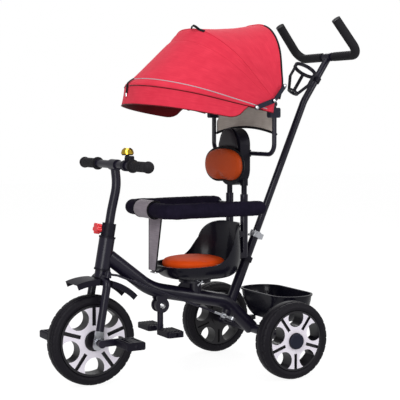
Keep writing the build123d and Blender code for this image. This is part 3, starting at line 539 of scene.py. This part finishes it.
def stitch_tree():
    """Stitches along a curve: flattened grains of thread at even spacing."""
    tree, group, end = new_tree(
        "stitch_row",
        [("Spacing", "NodeSocketFloat"), ("Stitch", "NodeSocketVector"), ("Material", "NodeSocketMaterial")],
    )
    beads = add(
        tree, "GeometryNodeResampleCurve", {"Curve": group.outputs[0], "Length": group.outputs["Spacing"]},
        mode="LENGTH",
    )
    grain = add(tree, "GeometryNodeMeshIcoSphere", {"Radius": 1.0, "Subdivisions": 1})
    way = add(tree, "GeometryNodeInputTangent")
    turn = add(tree, "FunctionNodeAlignRotationToVector", {"Vector": way.outputs[0]}, axis="X")
    row = add(
        tree, "GeometryNodeInstanceOnPoints",
        {
            "Points": beads.outputs[0], "Instance": grain.outputs[0], "Rotation": turn.outputs[0],
            "Scale": group.outputs["Stitch"],
        },
    )
    return close_tree(tree, group, end, row.outputs[0])


def rivet_tree():
    """Domed heads on washers at points, each facing along the point's own direction."""
    tree, group, end = new_tree(
        "domed_rivets",
        [("Radius", "NodeSocketFloat"), ("Height", "NodeSocketFloat"), ("Material", "NodeSocketMaterial")],
    )
    washer = add(tree, "GeometryNodeMeshCylinder", {"Vertices": 20, "Radius": 1.0, "Depth": 0.24})
    dome = add(tree, "GeometryNodeMeshUVSphere", {"Segments": 20, "Rings": 10, "Radius": 0.72})
    low = add(tree, "GeometryNodeTransform", {0: dome.outputs[0], "Scale": (1.0, 1.0, 1.1)})
    head = add(tree, "GeometryNodeJoinGeometry")
    tree.links.new(washer.outputs[0], head.inputs[0])
    tree.links.new(low.outputs[0], head.inputs[0])
    facing = add(tree, "GeometryNodeInputNamedAttribute", {"Name": "facing"}, data_type="FLOAT_VECTOR")
    turn = add(tree, "FunctionNodeAlignRotationToVector", {"Vector": facing.outputs[0]}, axis="Z")
    size = add(
        tree, "ShaderNodeCombineXYZ",
        {0: group.outputs["Radius"], 1: group.outputs["Radius"], 2: group.outputs["Height"]},
    )
    heads = add(
        tree, "GeometryNodeInstanceOnPoints",
        {
            "Points": group.outputs[0], "Instance": head.outputs[0], "Rotation": turn.outputs[0],
            "Scale": size.outputs[0],
        },
    )
    return close_tree(tree, group, end, heads.outputs[0])


STITCHES, RIVETS = stitch_tree(), rivet_tree()


def grow(piece, tree, values):
    """Runs a node tree on a piece with its inputs set, and keeps the result as a plain mesh."""
    maker = piece.modifiers.new("maker", "NODES")
    maker.node_group = tree
    for item in tree.interface.items_tree:
        if item.in_out == "INPUT" and item.name in values:
            maker[item.identifier] = values[item.name]
    return settle(piece)


def stitches(name, points, material):
    """A row of stitches along points."""
    size = tuple(s / 1000 for s in STITCH_SIZE)
    values = {"Spacing": STITCH_SPACING / 1000, "Stitch": size, "Material": material}
    return grow(path_curve(name, points), STITCHES, values)


def rivets(name, spots, radius, height, material):
    """Domed heads at (point, direction) pairs; radius and height are in millimetres."""
    mesh = bpy.data.meshes.new(name)
    mesh.from_pydata([p for p, _ in spots], [], [])
    facing = mesh.attributes.new("facing", "FLOAT_VECTOR", "POINT")
    for i, (_, way) in enumerate(spots):
        facing.data[i].vector = way
    piece = new_piece(name, mesh)
    return grow(piece, RIVETS, {"Radius": radius / 1000, "Height": height / 1000, "Material": material})


# Canopy


def arch(reach):
    """Evenly spaced points over an arch with two round corners, as (across, out) from the pivot axis."""
    low, high = Vector((CLOTH_HALF, CLOTH_ROOT)), Vector((CLOTH_HALF - BOW_TAPER, reach))
    side, top = (low - high).normalized(), Vector((-1.0, 0.0))
    bend = math.acos(side.dot(top))
    run = ARCH_CORNER / math.tan(bend / 2)
    middle = high + (side + top).normalized() * ARCH_CORNER / math.sin(bend / 2)
    first, last = high + side * run, high + top * run
    start = math.atan2(*reversed(first - middle))
    stop = math.atan2(*reversed(last - middle))
    quarter = [low]
    for k in range(33):
        angle = start + (stop - start) * k / 32
        quarter.append(middle + ARCH_CORNER * Vector((math.cos(angle), math.sin(angle))))
    return spaced(quarter + [Vector((-p.x, p.y)) for p in reversed(quarter)], ARCH_POINTS)


def fan(angle, across, out):
    """A point so far across and so far out along a bow at an angle."""
    turn = math.radians(angle)
    return place(PIVOT_X + out * math.cos(turn), across, PIVOT_Z + out * math.sin(turn))


def bow_row(angle, reach):
    """The cloth's line over one bow."""
    return [fan(angle, *p) for p in arch(reach)]


def leaned(row):
    """The front bow's line as the cloth hangs from it: raised at the front and low beside the pivots."""
    return [p + Vector((0, 0, FRONT_LEAN * (p.x - place(LEAN_X, 0, 0).x))) for p in row]


def hung_rear(row):
    """The rear bow's line, bulged backwards low down at both sides, where the stays are riveted."""
    heights = [1000 * p.z - PIVOT_Z for p in row]
    bulges = [REAR_BULGE / 1000 * math.exp(-(((h - BULGE_Z) / BULGE_SPREAD) ** 2)) for h in heights]
    return [p - Vector((bulge, 0, 0)) for p, bulge in zip(row, bulges)]


def canopy_rows():
    """Rows of the canopy from its rear edge over the middle bow to the sleeve on the front bow."""
    key = [hung_rear(bow_row(*REAR_BOW)), bow_row(*MIDDLE_BOW), leaned(bow_row(*FRONT_BOW))]
    rows = []
    for panel, (first, last) in enumerate(zip(key, key[1:])):
        for k in range(PANEL_STEPS + (panel == 1)):
            t = k / PANEL_STEPS
            row = []
            for c, (a, b) in enumerate(zip(first, last)):
                point = a.lerp(b, t)
                crown = math.sin(math.pi * c / (len(first) - 1))
                sag = (REAR_SAG, FRONT_SAG)[panel] * math.sin(math.pi * t) * crown
                if panel == 1:
                    sag += FOLD_DIP * math.exp(-(((t - FOLD_AT) / FOLD_WIDTH) ** 2)) * crown
                if panel == 1 and t > SLEEVE_AT:
                    across_sleeve = (t - SLEEVE_AT) / (1 - SLEEVE_AT)
                    sag = -SLEEVE_SWELL * math.sin(math.pi * across_sleeve) * crown ** 0.3
                inward = (place(PIVOT_X, 1000 * point.y * 0.6, PIVOT_Z) - point).normalized()
                ripple = CLOTH_RIPPLE * noise.noise(point * 22.0) * crown
                row.append(point + inward * (sag + ripple) / 1000)
            rows.append(row)
    return rows


rows = canopy_rows()
canopy, canopy_flat, canopy_area = cloth_sheet("canopy_sheet", rows, (CORAL, LINING))
middle_row = rows[PANEL_STEPS]
canopy_trims = [
    trim("canopy_left_binding", rows[0][:TOP_FROM + 1], 2.6, WEBBING),
    trim("canopy_top_binding", rows[0][TOP_FROM:TOP_TO + 1], 2.2, CORAL),
    trim("canopy_right_binding", rows[0][TOP_TO:], 2.6, WEBBING),
    trim("canopy_piping", rows[SLEEVE_ROW][2:-2], 1.5, PIPING),
    trim("canopy_middle_seam", middle_row[2:-2], 1.3, CORAL),
    trim("canopy_fold_line", rows[FOLD_ROW][5:-5], 0.8, CORAL),
    stitches("canopy_stitches", rows[PANEL_STEPS + 2][3:-3], CORAL),
    stitches("canopy_rear_stitches", rows[2][3:-3], CORAL),
]

visor_way = Vector((math.sin(math.radians(FRONT_BOW[0])), 0, -math.cos(math.radians(FRONT_BOW[0]))))


def visor_rows():
    """Rows of the visor from the front bow down to its free edge, which rises to the pivots at both ends."""
    top = leaned(bow_row(FRONT_BOW[0], FRONT_BOW[1] - 1.0))
    lengths = lengths_along(top)
    out = []
    for k in range(15):
        t = k / 14
        row = []
        for c, point in enumerate(top):
            from_end = 1000 * min(lengths[c], lengths[-1] - lengths[c])
            rise = min(max((from_end - VISOR_START) / VISOR_RISE, 0.0), 1.0)
            ahead = min(max((from_end - VISOR_START) / VISOR_AHEAD, 0.0), 1.0)
            full = VISOR_END_DROP + (VISOR_DROP - VISOR_END_DROP) * ahead ** 0.6
            drop = VISOR_FOOT + (full - VISOR_FOOT) * math.sqrt(1 - (1 - rise) ** 2)
            flare = VISOR_FLARE * t * t * rise
            away = Vector((point.x - place(PIVOT_X + 120, 0, 0).x, point.y, 0)).normalized()
            ripple = VISOR_RIPPLE * t * noise.noise(point * 16.0)
            row.append(point + (visor_way * drop * t + away * (flare + ripple)) / 1000)
        out.append(row)
    return out


front_rows = visor_rows()
visor, visor_flat, visor_area = cloth_sheet("visor_sheet", front_rows, (CORAL, LINING))
visor_trims = [
    # The dark red trim along the visor's fold is painted shadow: it stands in for the shade in the fold.
    trim("visor_fold_shadow_line", front_rows[0][3:-3], 1.4, LINING),
    trim("visor_hem", front_rows[-1], 1.1, LINING),
    stitches("visor_stitches", front_rows[-2][6:-6], CORAL),
]


def strap_strip(name, points, normals, width, thickness, material):
    """A flat strip of webbing along points, facing its normals; its sizes are in millimetres."""
    out = []
    for i, point in enumerate(points):
        ahead = points[min(i + 1, len(points) - 1)] - points[max(i - 1, 0)]
        side = ahead.cross(normals[i]).normalized() * width / 2 / 1000
        out.append([point - side, point - side * 0.5, point, point + side * 0.5, point + side])
    piece = new_piece(name, grid_mesh(name, out), material)
    return smooth(thick(piece, thickness, 0.0))


# Loop of webbing on top, and the zip's pull at the front corner
loop_points = []
loop_normals = []
for k in range(25):
    spot = LOOP_COLUMN - LOOP_RUN * k / 24
    low = int(spot)
    on_cloth = middle_row[low].lerp(middle_row[low + 1], spot - low)
    up = (on_cloth - place(PIVOT_X, 1000 * on_cloth.y, PIVOT_Z)).normalized()
    lift = LOOP_LIFT * math.sin(math.pi * min(k / 15, 1.0)) + LOOP_CLEAR
    loop_points.append(on_cloth + up * lift / 1000)
    loop_normals.append(up)
top_loop = strap_strip("canopy_loop", loop_points, loop_normals, 7.0, 1.4, WEBBING)

pull_away = Vector(PULL_AWAY) / 1000
pull_points = [row[PULL_COLUMN] + pull_away for row in rows[SLEEVE_ROW:] + front_rows[1:7]]
pull_normals = [Vector((0.9, 0.0, 0.4)).normalized()] * len(pull_points)
pull = strap_strip("zip_pull", pull_points, pull_normals, 7.0, 1.8, WEBBING)
tip_points = [pull_points[-1] + Vector((0, 0, -0.001 * k)) for k in range(10)]
pull_tip = trim("zip_tip", tip_points, 3.5, CHROME)


# Rear cloth panel


def rear_panel_rows():
    """Rows of the cloth hung between the two sides of the hoop, from its top to the curved bottom."""
    out = []
    for k in range(17):
        t = k / 16
        row = []
        for c in range(41):
            s = 2 * c / 40 - 1
            step = min(max((t - STEP_AT) / STEP_SPAN, 0.0), 1.0)
            half = PANEL_HALF + PANEL_STEP * step
            low = PANEL_LOW - PANEL_DIP * s * s
            z = PANEL_TOP + (low - PANEL_TOP) * t
            pull_in = PANEL_PULL * math.sin(math.pi * t) * (1 - s * s)
            ripple = PANEL_RIPPLE * noise.noise(Vector((s * 3.0, t * 2.0, 4.0)))
            row.append(place(PANEL_X - pull_in + ripple, s * half, z))
        out.append(row)
    return out


panel_rows = rear_panel_rows()
panel, panel_flat, panel_area = cloth_sheet("rear_cloth", panel_rows, (TAUPE,), offset=0.0)
panel_trims = [
    trim("rear_cloth_binding", panel_rows[-1], 3.6, WEBBING),
    stitches("rear_cloth_stitches", panel_rows[-2], WEBBING),
]


# Stuffed pads


def drawn_in(node, inset):
    """A copy of a solid's mesh, drawn in all round by so many millimetres."""
    mesh = nodes[node].data.copy()
    mesh.materials.clear()
    bm = bmesh.new()
    bm.from_mesh(mesh)
    bmesh.ops.remove_doubles(bm, verts=bm.verts, dist=1e-5)
    low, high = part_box(node)
    centre = (low + high) / 2
    size = high - low
    for vert in bm.verts:
        for axis in range(3):
            share = 1 - 2 * inset / 1000 / size[axis]
            vert.co[axis] = centre[axis] + (vert.co[axis] - centre[axis]) * share
    bm.to_mesh(mesh)
    bm.free()
    return mesh


def pillow(name, outline, middle_z, back, depth):
    """A pad's starting shape: rings of its outline, narrow behind, widest halfway and round in front."""
    rings = ((0.82, 0.0), (0.93, 0.25), (1.0, 0.5), (0.96, 0.74), (0.86, 0.9), (0.66, 1.0))
    count = len(outline)
    points = [
        place(back + depth * share, y * scale, middle_z + (z - middle_z) * scale)
        for scale, share in rings for y, z in outline
    ]
    ends = [tuple(reversed(range(count))), tuple(range(count * (len(rings) - 1), count * len(rings)))]
    mesh = bpy.data.meshes.new(name)
    mesh.from_pydata(points, [], ends + quads(len(rings), count, closed=True))
    return mesh


def puffed(name, mesh, room, material, voxel, cap, spread=PAD_SPREAD):
    """A stuffed pad: remeshed, then blown up as cloth, with a cap on its swell and a box it stays in."""
    piece = new_piece(name, mesh, material)
    cells = piece.modifiers.new("cells", "REMESH")
    cells.mode = "VOXEL"
    cells.voxel_size = voxel / 1000
    settle(piece)
    soften = piece.modifiers.new("soften", "SMOOTH")
    soften.factor, soften.iterations = 0.5, 6
    settle(piece)
    rest = [v.co.copy() for v in piece.data.vertices]
    cloth = piece.modifiers.new("stuffing", "CLOTH")
    cloth.settings.use_pressure = True
    cloth.settings.uniform_pressure_force = 4.0
    cloth.settings.effector_weights.gravity = 0.0
    cloth.settings.quality = 5
    cloth.collision_settings.use_self_collision = False
    for step in range(1, 21):
        bpy.context.scene.frame_set(step)
    settle(piece)
    bpy.context.scene.frame_set(1)
    low, high = room
    for vert, start in zip(piece.data.vertices, rest):
        move = (vert.co - start) * Vector(spread)
        if move.length > cap / 1000:
            move *= cap / 1000 / move.length
        spot = start + move
        for axis in range(3):
            spot[axis] = min(max(spot[axis], low[axis] + 0.0003), high[axis])
        vert.co = spot
    finer = piece.modifiers.new("finer", "SUBSURF")
    finer.levels = finer.render_levels = 1
    return smooth(settle(piece))


def even(points, count):
    """A closed outline again, with so many points at even steps."""
    return spaced([Vector(p) for p in points + points[:1]], count + 1)[:-1]


def back_outline():
    """Points (y, z) round the back pad, with the broad hollow in its lower edge."""
    points = []
    for k in range(120):
        turn = 2 * math.pi * (k + 0.5) / 120
        y = math.copysign(BACK_WIDE / 2 * abs(math.cos(turn)) ** BACK_FULL, math.cos(turn))
        z = math.copysign(BACK_HIGH / 2 * abs(math.sin(turn)) ** BACK_FULL, math.sin(turn))
        hollow = BACK_HOLLOW * math.exp(-((y / 38) ** 2)) if z < 0 else 0.0
        points.append((y, BACK_Z + z + hollow))
    return even(points, 120)


def head_outline():
    """Points (y, z) round the headrest: a flat lower edge under a tall arch."""
    arc = []
    for k in range(41):
        y = 2 * k / 40 - 1
        arc.append((-HEAD_HALF * y, HEAD_LOW + HEAD_HIGH * (1 - abs(y) ** 2.3) ** 0.8))
    return even(arc, 96)


seat_mesh, seat_room = drawn_in("seat_cushion", 5.0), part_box("seat_cushion")
seat_pad = puffed("seat_pad", seat_mesh, seat_room, SEAT_SKIN, voxel=5.0, cap=8.0, spread=(1, 1, 1))
back_rim = back_outline()
back_room = (
    place(SHELL_FRONT, -BACK_WIDE / 2 - 1, BACK_Z - BACK_HIGH / 2 - 1),
    place(SHELL_FRONT + BACK_DEPTH + 6, BACK_WIDE / 2 + 1, BACK_Z + BACK_HIGH / 2 + 1),
)
back_mesh = pillow("back_cushion", back_rim, BACK_Z, SHELL_FRONT, BACK_DEPTH)
back_pad = puffed("back_cushion", back_mesh, back_room, BACK_SKIN, voxel=4.5, cap=8.0)
back_pad.data.materials.append(HEAD_SKIN)
piping_x = SHELL_FRONT + 0.5 * BACK_DEPTH
for face in back_pad.data.polygons:
    face.material_index = int(face.center.x < place(piping_x, 0, 0).x)
head_room = (
    place(SHELL_FRONT, -HEAD_HALF - 1, HEAD_LOW),
    place(SHELL_FRONT + HEAD_DEPTH + 5, HEAD_HALF + 1, HEAD_LOW + HEAD_HIGH),
)
head_mesh = pillow("head_cushion", head_outline(), HEAD_LOW + HEAD_HIGH / 2, SHELL_FRONT, HEAD_DEPTH)
head_pad = puffed("head_cushion", head_mesh, head_room, HEAD_SKIN, voxel=3.0, cap=6.0)
piping_line = [place(piping_x + 1, 1.012 * y, BACK_Z + 1.025 * (z - BACK_Z)) for y, z in back_rim]
back_piping = trim("back_piping", piping_line, 3.0, WEBBING, closed=True)


# Guard ring padding


def guard_path(count):
    """Even points along the ring from its rear left end round the front to its rear right end."""
    corner = GUARD_CORNER
    line = [Vector((GUARD_BACK, GUARD_HALF))]
    for sign in (1, -1):
        turns = range(25) if sign > 0 else range(24, -1, -1)
        for k in turns:
            turn = math.pi / 2 * k / 24
            line.append(
                Vector((
                    GUARD_FRONT - corner + corner * math.sin(turn),
                    sign * (GUARD_HALF - corner + corner * math.cos(turn)),
                ))
            )
    line.append(Vector((GUARD_BACK, -GUARD_HALF)))
    return spaced(line, count)


def guard_rows():
    """Rings of the padding along the guard, drawn in at its ends and puckered at its seam, with creases."""
    path = guard_path(GUARD_STEPS + 1)
    out = []
    for i, point in enumerate(path):
        ahead = (path[min(i + 1, GUARD_STEPS)] - path[max(i - 1, 0)]).normalized()
        outward = Vector((-ahead.y, ahead.x))
        from_end = min(i, GUARD_STEPS - i)
        draw = min(1.0, 0.62 + 0.38 * math.sqrt(min(from_end / 5, 1.0)))
        row = []
        for c in range(GUARD_RING):
            turn = 2 * math.pi * c / GUARD_RING
            seam = SEAM_DEEP * math.exp(-(((turn - SEAM_AT) / SEAM_WIDTH) ** 2))
            soft = GUARD_SOFT * noise.noise(Vector((point.x, point.y, 30 * turn)) * 0.035)
            around = Vector((i * 0.42, math.cos(turn) * 1.5, math.sin(turn) * 1.5))
            crease = GUARD_CREASE * noise.noise(around)
            radius = (GUARD_R - GUARD_SOFT - seam + soft + crease) * draw
            spot = point + outward * (radius * math.cos(turn))
            row.append(place(spot.x, spot.y, GUARD_Z + radius * math.sin(turn)))
        out.append(row)
    first, last = place(path[0].x, path[0].y, GUARD_Z), place(path[-1].x, path[-1].y, GUARD_Z)
    return [[first.lerp(p, 0.4) for p in out[0]]] + out + [[last.lerp(p, 0.4) for p in out[-1]]]


guard_mesh_rows = guard_rows()
guard_mesh = grid_mesh("guard_padding", guard_mesh_rows, closed=True)
guard = smooth(new_piece("guard_padding", guard_mesh, GUARD_CLOTH))
seam_line = [row[SEAM_COLUMN] for row in guard_mesh_rows[4:-4]]
guard_stitches = stitches("guard_stitches", seam_line, WEBBING)


# Crotch strap


def crotch_rows():
    """Rows of the strap: under and over the guard's front, then tapering down behind it to the seat."""
    wrap = GUARD_R + STRAP_GAP
    line = []
    for k in range(33):
        turn = math.radians(WRAP_FROM + WRAP_TURN * k / 32)
        line.append(Vector((GUARD_FRONT + wrap * math.cos(turn), GUARD_Z + wrap * math.sin(turn))))
    start = line[-1]
    for k in range(1, 33):
        line.append(start.lerp(Vector(STRAP_FOOT), k / 32))
    out = []
    for i, spot in enumerate(line):
        share = max(0.0, (i - 32) / 32)
        half = STRAP_HALF - STRAP_NARROW * min(1.0, share * 8) - STRAP_TAPER * share
        row = []
        for c in range(17):
            s = 2 * c / 16 - 1
            cup = STRAP_CUP * math.sin(math.pi * share) * (1 - s * s)
            row.append(place(spot.x + cup, s * half, spot.y))
        out.append(row)
    return out


strap_rows = crotch_rows()
strap, strap_flat, strap_area = cloth_sheet("crotch_cloth", strap_rows, (STRAP_CLOTH,), STRAP_THICK, 0.0)
strap_trims = [
    trim("crotch_edge_left", [row[-1] for row in strap_rows], 2.1, WEBBING),
    trim("crotch_edge_right", [row[0] for row in strap_rows], 2.1, WEBBING),
    stitches("crotch_stitches_left", [row[-2] for row in strap_rows], WEBBING),
    stitches("crotch_stitches_right", [row[1] for row in strap_rows], WEBBING),
]
ring_points = []
for k in range(40):
    turn = 2 * math.pi * k / 40
    x = RING_CENTRE[0] + RING_HALVES[0] * math.cos(turn)
    ring_points.append(place(x, RING_HALVES[1] * math.sin(turn), RING_CENTRE[1]))
strap_ring = trim("crotch_ring", ring_points, 1.9, CHROME, closed=True)
lug_points = []
for k in range(9):
    t = k / 8
    z = LUG_START[1] - LUG_DROP * t - LUG_DIP * math.sin(math.pi * t)
    lug_points.append(place(LUG_START[0] + LUG_RUN * t, 0, z))
seat_lug = strap_strip("seat_lug", lug_points, [Vector((0.35, 0, 0.94))] * 9, 34.0, 6.0, SHELL)


# Tyres


def tyre(name, centre, radius, width, rim):
    """A moulded tyre: bead, bulged wall with a raised line, round shoulder, and grooves along and across."""
    half = width / 2
    profile = [
        (rim + 0.2, half - 7), (rim + 2, half - 3), (rim + 5, half - 1.2), (rim + 8, half - 0.6),
        (rim + 9.4, half), (rim + 10.6, half), (rim + 11.6, half - 1.0),
        (radius - 9, half - 1.0), (radius - 6, half - 2.4), (radius - 3.4, half - 5),
        (radius - 1.9, half - 8.5), (radius - 1.4, half - 11), (radius - 2.6, half - 11.6),
        (radius - 2.6, half - 13), (radius - 1.1, half - 13.6), (radius - 0.5, 2.0), (radius - 0.4, 0.0),
    ]
    section = profile + [(r, -y) for r, y in reversed(profile[:-1])]
    out = []
    for r, y in section:
        on_shoulder = r > radius - 7 and abs(y) > half - 12
        ring = []
        for k in range(TREAD_STEPS):
            turn = 2 * math.pi * k / TREAD_STEPS
            reach = r - TREAD_DEEP if on_shoulder and k % TREAD_EVERY < 2 else r
            x, z = centre[0] + reach * math.cos(turn), centre[2] + reach * math.sin(turn)
            ring.append(place(x, centre[1] + y, z))
        out.append(ring)
    body = new_piece(name, grid_mesh(name, out, closed=True), TYRE)
    bm = bmesh.new()
    bm.from_mesh(body.data)
    bmesh.ops.recalc_face_normals(bm, faces=bm.faces)
    bm.to_mesh(body.data)
    bm.free()
    return smooth(body)


front_axle = (FRONT_AXLE_X, 0, FRONT_AXLE_Z)
rear_axles = {"left": (0, HALF_TRACK, REAR_AXLE_Z), "right": (0, -HALF_TRACK, REAR_AXLE_Z)}
front_tyre = tyre("front_tyre_moulded", front_axle, *FRONT_TYRE)
rear_tyres = {side: tyre(f"rear_{side}_tyre_moulded", axle, *REAR_TYRE) for side, axle in rear_axles.items()}


# Rivets, nuts and bolt heads


def sides(x, y, z):
    """A point and its mirror, each facing away from the middle."""
    return [(place(x, y, z), Vector((0, 1, 0))), (place(x, -y, z), Vector((0, -1, 0)))]


fasteners = {
    body: rivets(name, sides(*spot), radius, height, CHROME)
    for body, (name, spot, radius, height) in FASTENERS.items()
}


# Finishes on the pieces that keep their solid shape
node_finishes = {
    POWDER: (
        "main_frame", "footrest_bracket", "handlebar", "pole_lower", "pole_upper", "footrest_post",
        "back_posts", "guard_rail", "canopy_hoop", "rear_bow", "middle_bow", "front_bow", "crank",
    ),
    STEEL: ("rear_axle", "pole_clamp", "swivel_lever"),
    plated_end("fork_coat", *FORK_END): ("fork",),
    plated_end("rod_coat", *ROD_END): ("steering_rod",),
    NAVY: ("canopy_brackets", "stay_rear_links", "stay_front_links", "rear_left_cap", "rear_right_cap"),
    ABS: (
        "headset_cups", "mudguard", "stem_collar", "pole_collar", "bottle_cage", "foot_pad_left",
        "foot_pad_right", "back_shell", "bell_base", "bell_lever", "clamp_lever", "pedal_left",
        "pedal_right",
    ),
    FOAM: ("grip_left", "grip_right", "push_grip_left", "push_grip_right"),
    SHELL: ("seat_shell", "rear_bin"),
    red_nylon(): ("clamp_knob",),
    bell_brass(): ("bell_dome",),
    wheel_paint("front_wheel_paint", front_axle, FRONT_PAINT, 0.0): ("front_wheel",),
}
for side, axle in rear_axles.items():
    paint = wheel_paint(f"rear_{side}_wheel_paint", axle, REAR_PAINT, math.pi)
    node_finishes[paint] = (f"rear_{side}_wheel",)
for material, names in node_finishes.items():
    for name in names:
        nodes[name].data.materials.clear()
        nodes[name].data.materials.append(material)


# Which body each piece moves with
for piece in [canopy, top_loop, visor, pull, pull_tip] + canopy_trims + visor_trims:
    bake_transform(piece)
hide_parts("canopy_cloth")
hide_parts("canopy_visor")
for piece in [panel, back_pad, back_piping, head_pad] + panel_trims:
    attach(piece, "backrest")
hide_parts("rear_panel")
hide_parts("back_pad")
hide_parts("headrest")
for piece in [seat_pad, guard, guard_stitches, strap, strap_ring, seat_lug] + strap_trims:
    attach(piece, "seat")
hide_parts("seat_cushion")
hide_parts("guard_pad")
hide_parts("crotch_strap")
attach(front_tyre, "front_wheel")
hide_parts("front_tyre")
for side, piece in rear_tyres.items():
    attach(piece, f"rear_{side}")
    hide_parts(f"rear_{side}_tyre")
for body, piece in fasteners.items():
    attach(piece, body)


# Floor, light and camera


def floor():
    """A wide pale floor."""
    mesh = bpy.data.meshes.new("floor")
    mesh.from_pydata([(-9, -9, 0), (9, -9, 0), (9, 9, 0), (-9, 9, 0)], [], [(0, 1, 2, 3)])
    material, tree, shader = new_finish("pale_floor", Roughness=0.9, Specular_IOR_Level=0.1)
    shader.inputs["Base Color"].default_value = linear("#6A6A6A")
    shader.inputs["Emission Color"].default_value = linear("#FFFFFF")
    direct = add(tree, "ShaderNodeLightPath")
    glow = add(tree, "ShaderNodeMapRange", {0: direct.outputs["Is Camera Ray"], 3: 0.45, 4: 0.92})
    tree.links.new(glow.outputs[0], shader.inputs["Emission Strength"])
    return new_piece("floor", mesh, material)


def lamp(name, spot, aim, size, power):
    """A square soft light at a point, facing another."""
    light = bpy.data.lights.new(name, "AREA")
    light.shape, light.size, light.energy = "SQUARE", size, power
    piece = bpy.data.objects.new(name, light)
    bpy.context.scene.collection.objects.link(piece)
    piece.location = spot
    piece.rotation_euler = (Vector(aim) - Vector(spot)).to_track_quat("-Z", "Y").to_euler()


floor()
for name, settings in LAMPS.items():
    lamp(name, *settings)
world = bpy.data.worlds.new("studio")
world.use_nodes = True
sky = world.node_tree
seen = add(sky, "ShaderNodeLightPath")
strength = add(sky, "ShaderNodeMapRange", {0: seen.outputs["Is Camera Ray"], 3: 0.42, 4: 1.0})
sky.links.new(strength.outputs[0], sky.nodes["Background"].inputs[1])
sky.nodes["Background"].inputs[0].default_value = (1, 1, 1, 1)
scene = bpy.context.scene
scene.world = world
scene.view_settings.view_transform = "Standard"

eye, aim = place(*CAMERA_AT), place(*CAMERA_AIM)
lens = bpy.data.cameras.new("camera")
lens.lens, lens.sensor_width = CAMERA_LENS, 36.0
camera = bpy.data.objects.new("camera", lens)
scene.collection.objects.link(camera)
camera.location = eye
camera.rotation_euler = (aim - eye).to_track_quat("-Z", "Y").to_euler()
scene.camera = camera
